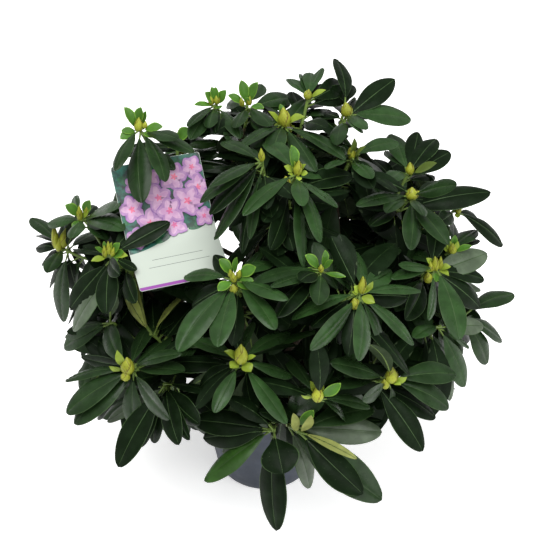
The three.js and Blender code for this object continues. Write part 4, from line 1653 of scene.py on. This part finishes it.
LABEL_WIDTH = 110 * MM
LABEL_UPPER = 95 * MM
LABEL_LOWER = 66 * MM
LABEL_THICKNESS = 0.8 * MM
LABEL_FOLD = np.array((-112, -54, 455)) * MM
LABEL_YAW = math.radians(18)
UPPER_SLOPE = math.radians(45)
LOWER_SLOPE = math.radians(20)
BEND_LENGTH = 24 * MM
LABEL_CORNER = 3 * MM
LABEL_STRIDES = 24
LABEL_ROWS = 44
LABEL_COLUMNS = 15
PRINT_MARGIN = 0.3 * MM
PRINT_HALF = 54.6  # half the picture's width, and its top up the card, in millimetres
PRINT_TOP = 94.6
PANEL_BAND = (-65.6, 4.2)  # its foot up the card and its height, in millimetres
RULE_WEIGHT = 0.55
INK = 0.04 * MM  # between two layers of print
TIE_THICKNESS = 1.1 * MM
TIE_SLACK = 4 * MM  # how far the tie reaches beyond the twig that it holds
TIE_HOLE = 5 * MM  # below the card's top edge
TIE_STEPS = 49

WIDTHWISE = np.array((math.cos(LABEL_YAW), math.sin(LABEL_YAW), 0))
BACKWARD = np.array((-math.sin(LABEL_YAW), math.cos(LABEL_YAW), 0))

# The picture's blossoms by their middles on the card and their size, in millimetres.
BLOSSOMS = (
    ((-42, 4, 15), (-30, 68, 14), (42, 78, 15), (-40, 40, 17), (-12, 74, 15), (-22, 20, 17), (18, 70, 18))
    + ((44, 52, 17), (-6, 48, 18), (6, 12, 16), (28, 38, 20), (44, 16, 13), (4, 30, 18))
)
# Its leaves by their foot, their direction and their length.
PICTURE_LEAVES = (
    ((-50, 80, -0.4, 30), (-8, 84, -0.2, 34), (24, 92, -1.1, 26), (54, 60, 2.6, 26), (-52, 22, 0.9, 24))
    + ((-22, -6, 0.5, 30), (22, 4, 0.35, 30), (52, 10, 2.9, 26), (-4, 40, 1.9, 24))
)


def label_slope(up):
    share = np.clip((up + BEND_LENGTH) / (2 * BEND_LENGTH), 0, 1)
    return LOWER_SLOPE + (UPPER_SLOPE - LOWER_SLOPE) * share**2 * (3 - 2 * share)


def label_points(across, up, proud):
    """Places on the bent card, across it and up it from its fold, so far off its middle."""
    across, up, proud = np.broadcast_arrays(np.asarray(across, float), up, proud)
    along, rise = np.zeros(up.shape), np.zeros(up.shape)
    stride = up / LABEL_STRIDES
    for i in range(LABEL_STRIDES):
        slope = label_slope((i + 0.5) * stride)
        along += stride * np.cos(slope)
        rise += stride * np.sin(slope)
    slope = label_slope(up)[..., None]
    normal = -BACKWARD * np.sin(slope) + WORLD_UP * np.cos(slope)
    place = LABEL_FOLD + along[..., None] * BACKWARD + rise[..., None] * WORLD_UP
    return place + across[..., None] * WIDTHWISE + proud[..., None] * normal


def label_half_width(up):
    """Half the card's width, drawn in at its rounded corners."""
    over = np.maximum(up - (LABEL_UPPER - LABEL_CORNER), -LABEL_LOWER + LABEL_CORNER - up)
    over = np.clip(over, 0, LABEL_CORNER)
    return LABEL_WIDTH / 2 - LABEL_CORNER + np.sqrt(LABEL_CORNER**2 - over**2)


def make_card():
    ends = LABEL_CORNER * (1 - np.cos(np.linspace(0, math.pi / 2, 6)))
    middle = np.linspace(-LABEL_LOWER + LABEL_CORNER, LABEL_UPPER - LABEL_CORNER, LABEL_ROWS)[1:-1]
    up = np.concatenate((-LABEL_LOWER + ends, middle, (LABEL_UPPER - ends)[::-1]))[:, None]
    across = label_half_width(up) * np.linspace(-1, 1, LABEL_COLUMNS)
    front = label_points(across, up, LABEL_THICKNESS / 2)
    back = label_points(across, up, -LABEL_THICKNESS / 2)
    finish = Finish("label_card_plastic", (168, 176, 166), 0.34, 0.3)
    finish.roughen(finish.noise(90, 3), 0.3, 0.4)
    bundle = Bundle("label_plate", finish.material, "label_plastic")
    bundle.add_grid(np.concatenate((front, back[:, ::-1]), axis=1), wrap=True)
    for row in (0, -1):
        bundle.add_grid(np.stack((front[row], back[row])), flip=row < 0)
    piece = bundle.make()
    smooth(piece.data, 40)
    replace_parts(piece, "label_card")


class Print(Bundle):
    """Flat printed shapes of one ink on the card's face."""

    def __init__(self, name, colour, other=None):
        finish = Finish(name, colour, 0.34, 0.5)
        if other:
            finish.tint(finish.noise(130, 2), other, 0.4, 0.62)
        super().__init__(name, finish.material, "label_plastic")

    def petal(self, x, y, turn, length, width, layer, point=1.0, waves=0.0):
        """A petal or leaf from (x, y), in millimetres on the card. point under 1 blunts its far end."""
        angle = np.linspace(0, 2 * math.pi, 22, endpoint=False)
        size = np.linspace(0.03, 1, 4)[:, None]
        along = length / 2 * (1 + size * np.cos(angle))
        taper = np.sin(np.clip(along / length, 0.001, 0.999) ** point * math.pi) ** 0.6
        wavy = 1 + waves * np.sin(5 * angle + turn * 7)
        bow = np.sin(angle)
        beside = width / 2 * size * np.sign(bow) * np.abs(bow) ** 0.8 * taper**0.4 * wavy
        across = x + along * math.cos(turn) - beside * math.sin(turn)
        up = y + along * math.sin(turn) + beside * math.cos(turn)
        self.lay(across, up, layer, wrap=True)

    def lay(self, across, up, layer=0, wrap=False):
        """Puts a grid of places in millimetres on the card, cut off at the card's edges."""
        up = np.clip(up * MM, -LABEL_LOWER + PRINT_MARGIN, LABEL_UPPER - PRINT_MARGIN)
        half = label_half_width(up) - PRINT_MARGIN
        across = np.clip(across * MM, -half, half)
        points = label_points(across, up, LABEL_THICKNESS / 2 + INK * (1 + layer))
        faces = grid_faces(*points.shape[:2], wrap)
        a, b, c, d = points.reshape(-1, 3)[faces[len(faces) // 2]]
        self.add_grid(points, wrap, flip=cross(c - a, d - b) @ WORLD_UP < 0)


def panel_edge(across):
    """Where the picture ends and the plain panel begins, up the card, in millimetres."""
    return -2 + 0.20 * across + 3.2 * np.sin(across / 55 * math.pi + 0.6)


def make_tie():
    """A plain tie through the card's top, closed round the nearest twig."""
    hole = label_points(0, LABEL_UPPER - TIE_HOLE, 0)
    spots = np.concatenate(twig_lines)
    twig = spots[np.argmin(norm(spots - hole, axis=1))]
    along = unit(twig - hole)
    normal = label_points(0, LABEL_UPPER - TIE_HOLE, 1) - hole
    side = unit(normal - (normal @ along) * along)
    turn = np.linspace(0, 2 * math.pi, TIE_STEPS)[:, None]
    half = norm(twig - hole) / 2 + TIE_SLACK
    line = (hole + twig) / 2 + along * half * np.cos(turn) + side * TIE_SLACK * 1.2 * np.sin(turn)
    finish = Finish("label_tie", (176, 180, 172), 0.45, 0.3)
    bundle = Bundle("label_tie", finish.material, "label_plastic")
    bundle.add_grid(tube_rings(line, np.full(TIE_STEPS, TIE_THICKNESS), 8, start_side=side), wrap=True)
    bundle.make()


def make_print():
    """A picture of blossoms over a plain panel with two rules and a band, on the card's face."""
    picture = Print("label_picture", (34, 92, 78), (16, 36, 32))
    greens = Print("label_leaves", (30, 92, 56), (16, 52, 36))
    shades = Print("label_petal_shades", (142, 98, 156), (122, 76, 142))
    petals = Print("label_petals", (162, 124, 164), (144, 104, 152))
    glows = Print("label_petal_glows", (186, 150, 178), (172, 128, 166))
    throats = Print("label_throats", (206, 104, 130), (180, 82, 130))
    band = Print("label_band", (122, 44, 134))
    rules = Print("label_rules", (74, 80, 78))
    across = np.linspace(-PRINT_HALF, PRINT_HALF, 24)[None, :]
    low = panel_edge(across)
    picture.lay(across, low + (PRINT_TOP - low) * np.linspace(0, 1, 30)[:, None])
    for x, y, turn, length in PICTURE_LEAVES:
        greens.petal(x, y, turn, length, length * 0.42, 1, point=0.9)
    for k, (x, y, size) in enumerate(BLOSSOMS):
        start = rng.uniform(0, 2 * math.pi)
        for i in range(5):
            turn = start + i * 2 * math.pi / 5 + rng.normal(0, 0.1)
            reach = size * rng.uniform(0.88, 1.08)
            over = 3 + 4 * k + 0.3 * (i % 2)
            shades.petal(x, y, turn, reach * 1.03, size * 0.92, over, 0.62, 0.10)
            petals.petal(x, y, turn + 0.08, reach, size * 0.82, over + 0.6, 0.62, 0.12)
            glows.petal(x, y, turn + 0.02, reach * 0.84, size * 0.46, over + 1.2, 0.7, 0.08)
            throats.petal(x, y, turn, size * 0.26, size * 0.13, over + 1.8, 0.8)
    foot, height = PANEL_BAND
    band.lay(across, foot + height * np.linspace(0, 1, 3)[:, None])
    for height, width in ((-28, 62), (-38, 74)):
        along = np.linspace(-width / 2, width / 2, 12)[None, :]
        rules.lay(along, height + RULE_WEIGHT * np.array((0, 1))[:, None])
    for ink in (picture, greens, shades, petals, glows, throats, band, rules):
        ink.make()


make_card()
make_tie()
make_print()

# ---------------------------------------------------------------- floor, light


def make_stage():
    bpy.ops.mesh.primitive_plane_add(size=14)
    floor = bpy.context.object
    floor.name = "floor"
    finish = Finish("floor_white", (250, 250, 250), 0.9, 0.2)
    finish.shader.inputs["Emission Color"].default_value = (1, 1, 1, 1)
    finish.shader.inputs["Emission Strength"].default_value = 0.44
    floor.data.materials.append(finish.material)


def make_light(name, place, size, power):
    data = bpy.data.lights.new(name, "AREA")
    data.shape = "SQUARE"
    data.size = size
    data.energy = power
    light = bpy.data.objects.new(name, data)
    light.location = place
    light.rotation_euler = (Vector(AIM) - Vector(place)).to_track_quat("-Z", "Y").to_euler()
    link(light)


def make_world(strength):
    world = bpy.data.worlds.new("studio")
    world.use_nodes = True
    background = world.node_tree.nodes["Background"]
    background.inputs["Color"].default_value = (1, 1, 1, 1)
    background.inputs["Strength"].default_value = strength
    bpy.context.scene.world = world
    bpy.context.scene.view_settings.view_transform = "Standard"


make_stage()
make_light("key_light", (-0.4, -0.8, 3.1), 2.2, 103)
make_light("fill_light", (1.6, -1.2, 1.6), 1.6, 26)
make_world(0.61)
